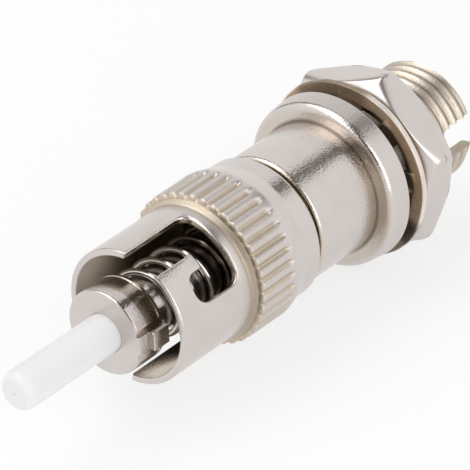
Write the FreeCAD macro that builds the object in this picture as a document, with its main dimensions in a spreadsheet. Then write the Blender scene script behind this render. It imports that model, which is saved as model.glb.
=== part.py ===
import FreeCAD, Part
import math
import os
import Sketcher

# ST to FC fibre adapter. The optical axis is X: the ST ferrule points along -X and the FC socket
# opens along +X. X = 0 is the rear face of the flange, which seats on a panel.
# Every piece is drawn from its own front face and placed along X by its "_at" value.

DIMENSIONS = {
    # white ceramic ferrule, with its fibre
    "fibre_radius": 0.0625,
    "fibre_length": 31.35,
    "ferrule_at": -29.6,
    "ferrule_length": 10.5,
    "ferrule_radius": 1.25,
    "ferrule_tip_radius": 1.0,
    "ferrule_tip_chamfer": 0.45,
    "ferrule_foot_chamfer": 0.3,
    # collar and stem that hold the ferrule
    "holder_at": -21.85,
    "holder_length": 17.85,
    "collar_length": 2.32,
    "collar_radius": 2.72,
    "collar_chamfer": 0.17,
    "collar_edge": 0.15,
    "stem_radius": 1.85,
    "stem_chamfer": 0.15,
    "ferrule_seat": 2.75,
    "passage_radius": 0.5,
    "stub_seat": 3.0,
    "key_front": 0.9,
    "key_length": 1.35,
    "key_root": 2.2,
    "key_top": 3.05,
    "key_half_width": 0.6,
    "key_angle": 177,
    "key_groove_floor": 2.48,
    "key_groove_inner": 0.6,
    "key_groove_outer": 1.17,
    # compression spring between the collar and the thrust washer
    "spring_at": -19.31,
    "spring_height": 9.39,
    "spring_pitch": 1.55,
    "spring_mean_radius": 2.18,
    "spring_wire_radius": 0.22,
    "spring_start_angle": 170,
    "spring_chords": 14,
    "spring_wire_sides": 8,
    "thrust_at": -9.7,
    "thrust_length": 0.5,
    "thrust_bore": 1.95,
    "thrust_radius": 3.7,
    # bayonet nut: thin slotted sleeve, knurled grip, smooth ring
    "nut_at": -19.8,
    "nut_length": 12.3,
    "nut_edge_radius": 4.22,
    "nut_edge": 0.16,
    "nut_sleeve_radius": 4.375,
    "nut_sleeve_end": 6.2,
    "nut_step_radius": 4.66,
    "nut_step_end": 6.45,
    "nut_knurl_lip": 4.9,
    "nut_knurl_start": 6.56,
    "nut_knurl_radius": 5.0,
    "nut_knurl_end": 9.8,
    "nut_ring_start": 11.0,
    "nut_ring_radius": 4.66,
    "nut_ring_edge": 0.16,
    "nut_inner_radius": 3.95,
    "nut_inner_chamfer": 0.1,
    "nut_floor": 10.6,
    "nut_rear_bore": 1.9,
    "knurl_count": 37,
    "knurl_first_angle": 79.0,
    "knurl_floor": 4.77,
    "knurl_floor_half": 0.1,
    "knurl_mouth": 5.1,
    "knurl_mouth_half": 0.27,
    "knurl_groove_start": 6.3,
    "knurl_groove_length": 3.15,
    "slot_overrun": 0.5,
    "slot_reach": 6.0,
    "slot_bottom": 5.3,
    "slot_corner": 0.45,
    "entry_half_width": 1.2,
    "entry_turn": 14.0,
    "channel_turn": 104.0,
    "channel_front": 3.17,
    "channel_sweep": 42.75,
    "detent_half_width": 0.965,
    "detent_turn": 56.75,
    "detent_centre": 2.77,
    # smooth barrel, with a low boss that stops the nut
    "barrel_at": -7.5,
    "barrel_boss_length": 0.5,
    "barrel_boss_radius": 3.2,
    "barrel_length": 5.85,
    "barrel_radius": 4.37,
    "barrel_front_chamfer": 0.15,
    "barrel_stem_seat": 2.9,
    # FC housing: spigot, flange, threaded barrel with a keyway
    "housing_at": -4.6,
    "spigot_length": 2.95,
    "spigot_radius": 3.5,
    "flange_length": 1.65,
    "flange_radius": 5.6,
    "flange_round": 0.6,
    "flange_shoulder": 0.176,
    "flange_edge": 0.08,
    "housing_length": 13.55,
    "thread_radius": 3.95,
    "thread_chamfer": 0.35,
    "socket_radius": 3.0,
    "socket_floor": 6.1,
    "socket_chamfer": 0.2,
    "keyway_angle": 171,
    "keyway_half_width": 1.04,
    "keyway_root": 2.6,
    "keyway_reach": 4.6,
    "keyway_bottom": 10.8,
    "keyway_length": 3.5,
    "keyway_corner": 0.45,
    # internal tooth lock washer
    "washer_at": 0.65,
    "washer_length": 0.35,
    "washer_middle": 0.175,
    "washer_radius": 6.08,
    "washer_rim_radius": 5.05,
    "washer_edge": 0.06,
    "tooth_inner": 4.15,
    "tooth_length": 1.05,
    "tooth_half_width": 0.8,
    "tooth_half_thickness": 0.15,
    "tooth_twist": 14,
    "tooth_count": 9,
    # hexagon nut, 11 mm across flats
    "hexnut_at": 1.85,
    "hexnut_length": 2.45,
    "hexnut_flat": 5.5,
    "hexnut_corner": 6.35085,
    "hexnut_corner_half": 3.175425,
    "hexnut_corner_angle": 41,
    "hexnut_bore": 4.0,
    "hexnut_bore_chamfer": 0.25,
    "hexnut_face_radius": 5.37,
    "hexnut_chamfer_reach": 6.6,
    "hexnut_front_chamfer": 0.92,
    "hexnut_rear_face_radius": 5.45,
    "hexnut_rear_chamfer": 0.66,
    # inside the FC socket
    "sleeve_holder_at": -3.95,
    "sleeve_holder_length": 11.85,
    "sleeve_holder_radius": 2.2,
    "sleeve_holder_bore": 1.65,
    "sleeve_holder_lip": 0.4,
    "sleeve_holder_mouth": 1.4,
    "sleeve_holder_chamfer": 0.2,
    "sleeve_at": -3.9,
    "sleeve_length": 11.3,
    "sleeve_radius": 1.6,
    "sleeve_slit_half": 0.2,
    "sleeve_slit_reach": 2.0,
    "stub_at": -7.0,
    "stub_length": 8.75,
}

doc = FreeCAD.newDocument("fibre_adapter")
sheet = doc.addObject("Spreadsheet::Sheet", "Sizes")
for row, (alias, size) in enumerate(DIMENSIONS.items(), start=1):
    sheet.set("A%d" % row, alias)
    sheet.set("B%d" % row, str(size))
    sheet.setAlias("B%d" % row, alias)
doc.recompute()


def bound(sum_text):
    """Write a sum of sizes so that it reads them from the sheet."""
    words = []
    for word in sum_text.split():
        words.append("Sizes." + word if word in DIMENSIONS else word)
    return " ".join(words)


def amount(sum_text):
    """Add up a sum of sizes, to draw a sketch near its final place."""
    total = 0.0
    sign = 1
    for word in sum_text.split():
        if word in "+-":
            sign = 1 if word == "+" else -1
        else:
            total += sign * DIMENSIONS.get(word, 0.0)
    return total


def piece(name, at):
    """A body whose front face lies at the named X."""
    body = doc.addObject("PartDesign::Body", name)
    body.Label = name
    body.Placement = FreeCAD.Placement()
    body.setExpression(".Placement.Base.x", bound(at))
    return body


def origin_part(body, role):
    """One of the planes or axes that a body is drawn on."""
    return next(part for part in body.Origin.OriginFeatures if part.Role == role)


def sketch_on(body, name, role, turn=None, about=(0, 0, 1), lift=None, shift=None):
    """A sketch on an origin plane, turned about one of its own axes, then lifted off it or shifted along it."""
    sketch = body.newObject("Sketcher::SketchObject", name)
    sketch.AttachmentSupport = [(origin_part(body, role), "")]
    sketch.MapMode = "FlatFace"
    if turn:
        angle = FreeCAD.Rotation(FreeCAD.Vector(*about), amount(turn))
        sketch.AttachmentOffset = FreeCAD.Placement(FreeCAD.Vector(0, 0, 0), angle)
        sketch.setExpression("AttachmentOffset.Rotation.Angle", bound(turn))
    if lift:
        sketch.setExpression("AttachmentOffset.Base.z", bound(lift))
    if shift:
        sketch.setExpression("AttachmentOffset.Base.x", bound(shift))
    return sketch


def hold(sketch, line, kind, sum_text):
    """Tie the start of a line to the sheet, or to the sketch axis where the size is nothing."""
    if sum_text == "0":
        axis = -2 if kind == "DistanceX" else -1
        sketch.addConstraint(Sketcher.Constraint("PointOnObject", line, 1, axis))
        return
    rule = Sketcher.Constraint(kind, -1, 1, line, 1, amount(sum_text))
    number = sketch.addConstraint(rule)
    sketch.setExpression("Constraints[%d]" % number, bound(sum_text))


def outline(sketch, corners):
    """Draw a closed outline with each corner tied to the sheet."""
    first = sketch.GeometryCount
    points = [FreeCAD.Vector(amount(x), amount(y), 0) for x, y in corners]
    for start, end in zip(points, points[1:] + points[:1]):
        sketch.addGeometry(Part.LineSegment(start, end))
    for index in range(len(corners)):
        after = (index + 1) % len(corners)
        sketch.addConstraint(Sketcher.Constraint("Coincident", first + index, 2, first + after, 1))
    for index, (x, y) in enumerate(corners):
        hold(sketch, first + index, "DistanceX", x)
        hold(sketch, first + index, "DistanceY", y)


def disc(sketch, x, y, radius):
    """Draw a circle tied to the sheet."""
    middle = FreeCAD.Vector(amount(x), amount(y), 0)
    circle = sketch.addGeometry(Part.Circle(middle, FreeCAD.Vector(0, 0, 1), amount(radius)))
    for kind, place, axis in (("DistanceX", x, -2), ("DistanceY", y, -1)):
        if place == "0":
            sketch.addConstraint(Sketcher.Constraint("PointOnObject", circle, 3, axis))
        else:
            rule = Sketcher.Constraint(kind, -1, 1, circle, 3, amount(place))
            number = sketch.addConstraint(rule)
            sketch.setExpression("Constraints[%d]" % number, bound(place))
    number = sketch.addConstraint(Sketcher.Constraint("Radius", circle, amount(radius)))
    sketch.setExpression("Constraints[%d]" % number, bound(radius))


def turned(body, name, corners):
    """A ring turned about X from its half section, given as distances along X and radii."""
    section = sketch_on(body, name + "_section", "XY_Plane")
    outline(section, corners)
    ring = body.newObject("PartDesign::Revolution", name + "_turned")
    ring.Profile = section
    ring.ReferenceAxis = (section, ["H_Axis"])
    ring.Angle = 360
    doc.recompute()
    return ring


def padded(body, name, sketch, length):
    """A block raised from a sketch along its normal."""
    block = body.newObject("PartDesign::Pad", name)
    block.Profile = sketch
    block.Length = amount(length)
    block.setExpression("Length", bound(length))
    doc.recompute()
    return block


def cut(body, name, sketch, length):
    """A cut driven from a sketch along its normal, which must take some metal away."""
    before = body.Shape.Volume
    pocket = body.newObject("PartDesign::Pocket", name)
    pocket.Profile = sketch
    pocket.Reversed = True
    pocket.Length = amount(length)
    pocket.setExpression("Length", bound(length))
    doc.recompute()
    if body.Shape.Volume > before - 1e-4:
        raise RuntimeError(name + " cuts nothing")
    return pocket


def repeated(body, name, features, count):
    """Copies of features spaced evenly about X."""
    ring = body.newObject("PartDesign::PolarPattern", name)
    ring.Originals = features
    ring.Axis = (origin_part(body, "X_Axis"), [""])
    ring.Angle = 360
    ring.Occurrences = int(DIMENSIONS[count]) if count in DIMENSIONS else count
    if count in DIMENSIONS:
        ring.setExpression("Occurrences", bound(count))
    body.Tip = ring
    doc.recompute()
    return ring


def rounded(body, name, base, wanted, radius):
    """Round the edges of a body that a test picks out."""
    edges = []
    for number, edge in enumerate(base.Shape.Edges, start=1):
        if wanted(edge):
            edges.append("Edge%d" % number)
    if not edges:
        raise RuntimeError(name + " finds no edge")
    fillet = body.newObject("PartDesign::Fillet", name)
    fillet.Base = (base, edges)
    fillet.Radius = amount(radius)
    fillet.setExpression("Radius", bound(radius))
    body.Tip = fillet
    doc.recompute()
    return fillet


# The ferrule: a ceramic rod with a coned tip and a fine bore for the fibre.
ferrule = piece("st_ferrule", "ferrule_at")
turned(ferrule, "ferrule", [
    ("0", "fibre_radius"),
    ("0", "ferrule_tip_radius"),
    ("ferrule_tip_chamfer", "ferrule_radius"),
    ("ferrule_length - ferrule_foot_chamfer", "ferrule_radius"),
    ("ferrule_length", "ferrule_radius - ferrule_foot_chamfer"),
    ("ferrule_length", "fibre_radius"),
])

# The ferrule holder: a keyed collar on a long stem that is bored from both ends.
holder = piece("ferrule_holder", "holder_at")
turned(holder, "holder", [
    ("0", "ferrule_radius"),
    ("0", "collar_radius - collar_chamfer"),
    ("collar_chamfer", "collar_radius"),
    ("collar_length - collar_edge", "collar_radius"),
    ("collar_length", "collar_radius - collar_edge"),
    ("collar_length", "stem_radius"),
    ("holder_length - stem_chamfer", "stem_radius"),
    ("holder_length", "stem_radius - stem_chamfer"),
    ("holder_length", "ferrule_radius"),
    ("holder_length - stub_seat", "ferrule_radius"),
    ("holder_length - stub_seat", "passage_radius"),
    ("ferrule_seat", "passage_radius"),
    ("ferrule_seat", "ferrule_radius"),
])
grooves = sketch_on(holder, "key_grooves_section", "YZ_Plane", turn="key_angle")
outline(grooves, [
    ("key_groove_floor", "key_groove_inner"),
    ("key_top", "key_groove_inner"),
    ("key_top", "key_groove_outer"),
    ("key_groove_floor", "key_groove_outer"),
])
outline(grooves, [
    ("key_groove_floor", "- key_groove_outer"),
    ("key_top", "- key_groove_outer"),
    ("key_top", "- key_groove_inner"),
    ("key_groove_floor", "- key_groove_inner"),
])
cut(holder, "key_grooves", grooves, "collar_length")
key = sketch_on(holder, "key_section", "YZ_Plane", turn="key_angle", lift="key_front")
outline(key, [
    ("key_root", "- key_half_width"),
    ("key_top", "- key_half_width"),
    ("key_top", "key_half_width"),
    ("key_root", "key_half_width"),
])
padded(holder, "key", key, "key_length")

# The spring: wire wound right-handed along +X around the stem. Its line is a run of short chords.
turns = amount("spring_height") / amount("spring_pitch")
chords = round(turns * amount("spring_chords"))
line = []
for step in range(chords + 1):
    share = step / chords
    angle = 2 * math.pi * turns * share
    reach = amount("spring_mean_radius")
    line.append(FreeCAD.Vector(
        amount("spring_height") * share, reach * math.cos(angle), reach * math.sin(angle)
    ))
coil_line = doc.addObject("Part::Polygon", "coil_line")
coil_line.Nodes = line
coil_line.Close = False
wire = doc.addObject("Part::RegularPolygon", "wire_section")
wire.setExpression("Polygon", bound("spring_wire_sides"))
wire.setExpression("Circumradius", bound("spring_wire_radius"))
wire.Placement = FreeCAD.Placement(
    line[0], FreeCAD.Rotation(FreeCAD.Vector(0, 0, 1), line[1] - line[0])
)
doc.recompute()
spring = doc.addObject("Part::Sweep", "coil_spring")
spring.Label = "coil_spring"
spring.Sections = [wire]
spring.Spine = (coil_line, ["Edge%d" % (number + 1) for number in range(chords)])
spring.Solid = True
spring.Frenet = False
spring.Transition = "Right corner"
spring.Placement = FreeCAD.Placement(
    FreeCAD.Vector(amount("spring_at"), 0, 0),
    FreeCAD.Rotation(FreeCAD.Vector(1, 0, 0), amount("spring_start_angle")),
)
spring.setExpression(".Placement.Base.x", bound("spring_at"))
spring.setExpression(".Placement.Rotation.Angle", bound("spring_start_angle"))
doc.recompute()

# The thrust washer that the spring bears on, on the floor of the nut.
thrust = piece("thrust_washer", "thrust_at")
turned(thrust, "thrust", [
    ("0", "thrust_bore"),
    ("0", "thrust_radius"),
    ("thrust_length", "thrust_radius"),
    ("thrust_length", "thrust_bore"),
])

# The bayonet nut. Its knurl is cut first, then one J-slot, which is repeated on the far side.
nut = piece("bayonet_nut", "nut_at")
turned(nut, "nut", [
    ("0", "nut_inner_radius + nut_inner_chamfer"),
    ("0", "nut_edge_radius"),
    ("nut_edge", "nut_sleeve_radius"),
    ("nut_sleeve_end", "nut_sleeve_radius"),
    ("nut_step_end", "nut_step_radius"),
    ("nut_step_end", "nut_knurl_lip"),
    ("nut_knurl_start", "nut_knurl_radius"),
    ("nut_knurl_end", "nut_knurl_radius"),
    ("nut_ring_start", "nut_ring_radius"),
    ("nut_length - nut_ring_edge", "nut_ring_radius"),
    ("nut_length", "nut_ring_radius - nut_ring_edge"),
    ("nut_length", "nut_rear_bore"),
    ("nut_floor", "nut_rear_bore"),
    ("nut_floor", "nut_inner_radius"),
    ("nut_inner_chamfer", "nut_inner_radius"),
])
knurl = sketch_on(nut, "knurl_section", "YZ_Plane", turn="knurl_first_angle", lift="knurl_groove_start")
outline(knurl, [
    ("knurl_floor", "- knurl_floor_half"),
    ("knurl_mouth", "- knurl_mouth_half"),
    ("knurl_mouth", "knurl_mouth_half"),
    ("knurl_floor", "knurl_floor_half"),
])
knurl_groove = cut(nut, "knurl_groove", knurl, "knurl_groove_length")
repeated(nut, "knurl_ring", [knurl_groove], "knurl_count")
entry = sketch_on(nut, "entry_outline", "XY_Plane", turn="entry_turn", about=(1, 0, 0))
outline(entry, [
    ("- slot_overrun", "- entry_half_width"),
    ("slot_bottom", "- entry_half_width"),
    ("slot_bottom", "entry_half_width"),
    ("- slot_overrun", "entry_half_width"),
])
entry_cut = cut(nut, "entry", entry, "slot_reach")
detent_end = sketch_on(nut, "detent_end_outline", "XY_Plane", turn="detent_turn", about=(1, 0, 0))
disc(detent_end, "detent_centre", "0", "detent_half_width")
detent_end_cut = cut(nut, "detent_end", detent_end, "slot_reach")
detent = sketch_on(nut, "detent_outline", "XY_Plane", turn="detent_turn", about=(1, 0, 0))
outline(detent, [
    ("detent_centre", "- detent_half_width"),
    ("slot_bottom", "- detent_half_width"),
    ("slot_bottom", "detent_half_width"),
    ("detent_centre", "detent_half_width"),
])
detent_cut = cut(nut, "detent", detent, "slot_reach")
channel = sketch_on(nut, "channel_section", "XY_Plane", turn="channel_turn", about=(1, 0, 0))
outline(channel, [
    ("channel_front", "thrust_bore"),
    ("slot_bottom", "thrust_bore"),
    ("slot_bottom", "slot_reach"),
    ("channel_front", "slot_reach"),
])
unslotted = nut.Shape.Volume
channel_cut = nut.newObject("PartDesign::Groove", "channel")
channel_cut.Profile = channel
channel_cut.ReferenceAxis = (channel, ["H_Axis"])
channel_cut.Angle = amount("channel_sweep")
channel_cut.setExpression("Angle", bound("channel_sweep"))
doc.recompute()
if nut.Shape.Volume > unslotted - 1e-4:
    raise RuntimeError("the channel cuts nothing")
slots = repeated(nut, "slot_pair", [entry_cut, detent_end_cut, detent_cut, channel_cut], 2)


def slot_corner(edge):
    """A short radial edge at the closed end of a slot."""
    ends = [vertex.Point for vertex in edge.Vertexes]
    bottom = amount("slot_bottom")
    wall = amount("nut_sleeve_radius - nut_inner_radius")
    level = all(abs(end.x - bottom) < 1e-4 for end in ends)
    if len(ends) != 2 or not level:
        return False
    radii = sorted((end.y ** 2 + end.z ** 2) ** 0.5 for end in ends)
    return radii[1] - radii[0] > wall / 2


rounded(nut, "slot_corners", slots, slot_corner, "slot_corner")

# The barrel between the nut and the flange.
barrel = piece("body_barrel", "barrel_at")
turned(barrel, "barrel", [
    ("0", "stem_radius"),
    ("0", "barrel_boss_radius"),
    ("barrel_boss_length", "barrel_boss_radius"),
    ("barrel_boss_length", "barrel_radius - barrel_front_chamfer"),
    ("barrel_boss_length + barrel_front_chamfer", "barrel_radius"),
    ("barrel_length", "barrel_radius"),
    ("barrel_length", "spigot_radius"),
    ("barrel_stem_seat", "spigot_radius"),
    ("barrel_stem_seat", "stem_radius"),
])

# The FC housing, with the keyway milled into its rear rim.
housing = piece("fc_housing", "housing_at")
turned(housing, "housing", [
    ("0", "sleeve_holder_radius"),
    ("0", "spigot_radius"),
    ("spigot_length", "spigot_radius"),
    ("spigot_length", "flange_radius - flange_round"),
    ("spigot_length + flange_shoulder", "flange_radius - flange_shoulder"),
    ("spigot_length + flange_round", "flange_radius"),
    ("spigot_length + flange_length - flange_edge", "flange_radius"),
    ("spigot_length + flange_length", "flange_radius - flange_edge"),
    ("spigot_length + flange_length", "thread_radius"),
    ("housing_length - thread_chamfer", "thread_radius"),
    ("housing_length", "thread_radius - thread_chamfer"),
    ("housing_length", "socket_radius + socket_chamfer"),
    ("housing_length - socket_chamfer", "socket_radius"),
    ("socket_floor", "socket_radius"),
    ("socket_floor", "sleeve_holder_radius"),
])
keyway = sketch_on(housing, "keyway_section", "YZ_Plane", turn="keyway_angle", lift="keyway_bottom")
outline(keyway, [
    ("keyway_root", "- keyway_half_width"),
    ("keyway_reach", "- keyway_half_width"),
    ("keyway_reach", "keyway_half_width"),
    ("keyway_root", "keyway_half_width"),
])
keyway_cut = cut(housing, "keyway", keyway, "keyway_length")


def keyway_corner(edge):
    """A short radial edge at the closed end of the keyway."""
    ends = [vertex.Point for vertex in edge.Vertexes]
    bottom = amount("keyway_bottom")
    level = all(abs(end.x - bottom) < 1e-4 for end in ends)
    if len(ends) != 2 or not level:
        return False
    radii = sorted((end.y ** 2 + end.z ** 2) ** 0.5 for end in ends)
    return radii[1] - radii[0] > 0.5


rounded(housing, "keyway_corners", keyway_cut, keyway_corner, "keyway_corner")

# The lock washer: a flat rim with twisted inner teeth.
washer = piece("lock_washer", "washer_at")
turned(washer, "washer", [
    ("0", "washer_rim_radius"),
    ("0", "washer_radius - washer_edge"),
    ("washer_edge", "washer_radius"),
    ("washer_length - washer_edge", "washer_radius"),
    ("washer_length", "washer_radius - washer_edge"),
    ("washer_length", "washer_rim_radius"),
])
tooth = sketch_on(
    washer, "tooth_section", "XY_Plane", turn="tooth_twist", lift="tooth_inner", shift="washer_middle"
)
outline(tooth, [
    ("- tooth_half_thickness", "- tooth_half_width"),
    ("tooth_half_thickness", "- tooth_half_width"),
    ("tooth_half_thickness", "tooth_half_width"),
    ("- tooth_half_thickness", "tooth_half_width"),
])
tooth_pad = padded(washer, "tooth", tooth, "tooth_length")
repeated(washer, "tooth_ring", [tooth_pad], "tooth_count")

# The hexagon nut, coned at both faces.
hexnut = piece("hex_nut", "hexnut_at")
hexagon = sketch_on(hexnut, "hexagon_section", "YZ_Plane", turn="hexnut_corner_angle")
outline(hexagon, [
    ("hexnut_corner", "0"),
    ("hexnut_corner_half", "hexnut_flat"),
    ("- hexnut_corner_half", "hexnut_flat"),
    ("- hexnut_corner", "0"),
    ("- hexnut_corner_half", "- hexnut_flat"),
    ("hexnut_corner_half", "- hexnut_flat"),
])
disc(hexagon, "0", "0", "hexnut_bore")
padded(hexnut, "hexagon", hexagon, "hexnut_length")
cones = sketch_on(hexnut, "cones_section", "XY_Plane")
outline(cones, [
    ("0", "hexnut_face_radius"),
    ("0", "hexnut_chamfer_reach"),
    ("hexnut_front_chamfer", "hexnut_chamfer_reach"),
])
outline(cones, [
    ("hexnut_length", "hexnut_rear_face_radius"),
    ("hexnut_length", "hexnut_chamfer_reach"),
    ("hexnut_length - hexnut_rear_chamfer", "hexnut_chamfer_reach"),
])
outline(cones, [
    ("0", "hexnut_bore"),
    ("0", "hexnut_bore + hexnut_bore_chamfer"),
    ("hexnut_bore_chamfer", "hexnut_bore"),
])
outline(cones, [
    ("hexnut_length", "hexnut_bore"),
    ("hexnut_length", "hexnut_bore + hexnut_bore_chamfer"),
    ("hexnut_length - hexnut_bore_chamfer", "hexnut_bore"),
])
uncut = hexnut.Shape.Volume
coned = hexnut.newObject("PartDesign::Groove", "cones")
coned.Profile = cones
coned.ReferenceAxis = (cones, ["H_Axis"])
coned.Angle = 360
doc.recompute()
if hexnut.Shape.Volume > uncut - 1e-4:
    raise RuntimeError("the cones cut nothing")

# The sleeve holder: a tube with a lip that keeps the split sleeve in.
tube = piece("sleeve_holder", "sleeve_holder_at")
turned(tube, "tube", [
    ("0", "sleeve_holder_bore"),
    ("0", "sleeve_holder_radius"),
    ("sleeve_holder_length - sleeve_holder_chamfer", "sleeve_holder_radius"),
    ("sleeve_holder_length", "sleeve_holder_radius - sleeve_holder_chamfer"),
    ("sleeve_holder_length", "sleeve_holder_mouth + sleeve_holder_chamfer"),
    ("sleeve_holder_length - sleeve_holder_chamfer", "sleeve_holder_mouth"),
    ("sleeve_holder_length - sleeve_holder_lip", "sleeve_holder_mouth"),
    ("sleeve_holder_length - sleeve_holder_lip", "sleeve_holder_bore"),
])

# The split sleeve: a thin ceramic tube with one slit along its length.
sleeve = piece("split_sleeve", "sleeve_at")
turned(sleeve, "sleeve", [
    ("0", "ferrule_radius"),
    ("0", "sleeve_radius"),
    ("sleeve_length", "sleeve_radius"),
    ("sleeve_length", "ferrule_radius"),
])
slit = sketch_on(sleeve, "slit_outline", "XY_Plane")
outline(slit, [
    ("- sleeve_slit_reach", "- sleeve_slit_half"),
    ("sleeve_length + sleeve_slit_reach", "- sleeve_slit_half"),
    ("sleeve_length + sleeve_slit_reach", "sleeve_slit_half"),
    ("- sleeve_slit_reach", "sleeve_slit_half"),
])
cut(sleeve, "slit", slit, "sleeve_slit_reach")

# The stub ferrule that meets the FC plug's ferrule inside the sleeve.
stub = piece("fc_stub_ferrule", "stub_at")
turned(stub, "stub", [
    ("0", "fibre_radius"),
    ("0", "ferrule_radius - ferrule_foot_chamfer"),
    ("ferrule_foot_chamfer", "ferrule_radius"),
    ("stub_length - ferrule_tip_chamfer", "ferrule_radius"),
    ("stub_length", "ferrule_tip_radius"),
    ("stub_length", "fibre_radius"),
])

# The fibre itself, from one polished end face to the other.
fibre = doc.addObject("Part::Cylinder", "optical_fibre")
fibre.Label = "optical_fibre"
fibre.Placement = FreeCAD.Placement(
    FreeCAD.Vector(amount("ferrule_at"), 0, 0), FreeCAD.Rotation(FreeCAD.Vector(0, 1, 0), 90)
)
fibre.setExpression("Radius", bound("fibre_radius"))
fibre.setExpression("Height", bound("fibre_length"))
fibre.setExpression(".Placement.Base.x", bound("ferrule_at"))
doc.recompute()

PIECES = [
    ferrule, holder, spring, thrust, nut, barrel, housing, washer, hexnut, tube, sleeve, stub, fibre,
]
for item in doc.Objects:
    if "Invalid" in item.State or "Error" in item.State:
        raise RuntimeError(item.Name + " did not recompute")
for item in PIECES:
    if item.Shape.isNull() or not item.Shape.isValid():
        raise RuntimeError(item.Label + " has no sound shape")

os.makedirs("parts", exist_ok=True)
for item in PIECES:
    item.Shape.exportStep(os.path.join("parts", item.Label + ".step"))
    print(item.Label, round(item.Shape.Volume, 3), item.Shape.BoundBox)
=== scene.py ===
"""Looks of a fibre adapter: turned, knurled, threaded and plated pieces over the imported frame."""

import logging
import math
from dataclasses import dataclass
from enum import Enum
from typing import Callable, ClassVar, Optional, Sequence

import bmesh
import bpy
from mathutils import Matrix, Vector


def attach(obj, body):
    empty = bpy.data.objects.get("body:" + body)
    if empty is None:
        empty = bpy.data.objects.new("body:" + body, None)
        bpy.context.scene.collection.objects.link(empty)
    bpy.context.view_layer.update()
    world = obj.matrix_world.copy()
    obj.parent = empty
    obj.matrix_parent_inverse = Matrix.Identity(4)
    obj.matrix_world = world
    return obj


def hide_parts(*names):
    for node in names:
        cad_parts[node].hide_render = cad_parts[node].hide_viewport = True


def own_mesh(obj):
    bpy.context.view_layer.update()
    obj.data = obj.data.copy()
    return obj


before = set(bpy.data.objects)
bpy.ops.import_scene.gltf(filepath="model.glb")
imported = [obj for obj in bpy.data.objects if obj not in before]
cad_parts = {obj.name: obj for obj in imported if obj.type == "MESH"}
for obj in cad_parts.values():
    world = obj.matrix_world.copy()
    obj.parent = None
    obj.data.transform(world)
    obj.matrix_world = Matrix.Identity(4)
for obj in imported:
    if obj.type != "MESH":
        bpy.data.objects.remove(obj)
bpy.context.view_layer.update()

MM = 0.001
LOG = logging.getLogger("fibre_adapter")

# the most of a run that the rounding of one corner takes
ROUNDING_SHARE = 0.48
# a run shorter than this many gaps gets no points near its ends
SHORTEST_BRACED = 5
# how near to a radius a point counts as on it, and the length from which a run there is split
ON_RADIUS = 0.0001
LONG_RUN = 1.0
# height of the fine relief of plate, in metres
GRAIN_HEIGHT = 0.00002

NICKEL = (0.655, 0.608, 0.582)
# gold of worn patches, and of the painted warm shade in grooves, gaps and on near sides
GOLD_WEAR_AND_SHADE = (0.57, 0.47, 0.33)
# brown of the painted shade laid in the depths of the metal
PAINTED_SHADE_BROWN = (0.12, 0.085, 0.055)

Spot = tuple[float, float]
Point = tuple[float, float, float]
Corner = tuple[float, float, float]
Colour = tuple[float, float, float]
Edges = tuple[tuple[Point, Point], ...]
Shaper = Callable[[float, float, float], Spot]


class Body(Enum):
    """The rigid bodies that new pieces ride on."""

    ADAPTER = "adapter_body"
    COUPLING_NUT = "coupling_nut"
    WASHER_CARRIAGE = "washer_carriage"
    PANEL_NUT = "panel_nut"


class Slot(Enum):
    """The record's slots that new pieces stand in; each piece notes its own, and its finish is given in
    main.
    """

    NICKEL_PLATE = "nickel_plate"
    WASHER_PLATE = "washer_plate"
    SPRING_WIRE = "spring_wire"
    ZIRCONIA = "zirconia"


class Join(Enum):
    """How one solid is worked with another."""

    CUT = "DIFFERENCE"
    WELD = "UNION"


def soften(corners: Sequence[Corner], steps: int) -> list[Spot]:
    """Round the corners of a closed outline.

    Args:
        corners: Points in order, each with the radius of its rounding.
        steps: Chords in each rounding.

    Returns:
        The points of the rounded outline, in millimetres.
    """
    spots: list[Spot] = []
    for index, (x, y, radius) in enumerate(corners):
        if radius <= 0:
            spots.append((x, y))
            continue
        here = Vector((x, y))
        back = Vector(corners[index - 1][:2]) - here
        ahead = Vector(corners[(index + 1) % len(corners)][:2]) - here
        before, after = back.normalized(), ahead.normalized()
        half = before.angle(after) / 2
        room = min(back.length, ahead.length) * ROUNDING_SHARE
        reach = min(radius / math.tan(half), room)
        bend = reach * math.tan(half)
        centre = here + (before + after).normalized() * (bend / math.sin(half))
        start = here + before * reach - centre
        end = here + after * reach - centre
        sweep = start.angle(end)
        for step in range(steps + 1):
            share = step / steps
            arm = start * math.sin((1 - share) * sweep) + end * math.sin(share * sweep)
            spots.append(tuple(centre + arm / math.sin(sweep)))
    return spots


def brace(loop: Sequence[Spot], gap: float = 0.04) -> list[Spot]:
    """Add points close to both ends of each long run, so that flats shade flat.

    Args:
        loop: Points of a closed outline.
        gap: Distance of the added points from the ends.

    Returns:
        The outline with the added points.
    """
    spots: list[Spot] = []
    for index, spot in enumerate(loop):
        here, ahead = Vector(spot), Vector(loop[(index + 1) % len(loop)])
        spots.append(spot)
        run = ahead - here
        if run.length > SHORTEST_BRACED * gap:
            step = run.normalized() * gap
            spots.append(tuple(here + step))
            spots.append(tuple(ahead - step))
    return spots


def section(front: float, corners: Sequence[Corner], steps: int, gap: float = 0.04) -> list[Spot]:
    """Round and brace a half section, and put it in its place along the axis.

    Args:
        front: Where the section starts along the axis.
        corners: Distances from there, radii and roundings.
        steps: Chords in each rounding.
        gap: Distance of the bracing points from the ends of a run.

    Returns:
        The section as distances along the axis and radii.
    """
    return [(front + x, radius) for x, radius in brace(soften(corners, steps), gap)]


def split_run(loop: Sequence[Spot], radius: float, rows: Callable[[float], int]) -> list[Spot]:
    """Split the long run of a section at one radius, to take a knurl or a thread.

    Args:
        loop: Points of the section.
        radius: Radius of the run.
        rows: Gives the number of steps for a length.

    Returns:
        The section with the added points.
    """
    spots: list[Spot] = []
    for x, height in loop:
        start = spots[-1][0] if spots else x
        if abs(height - radius) < ON_RADIUS and x - start > LONG_RUN:
            steps = rows(x - start)
            spots.extend((start + (x - start) * step / steps, height) for step in range(1, steps))
        spots.append((x, height))
    return spots


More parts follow.
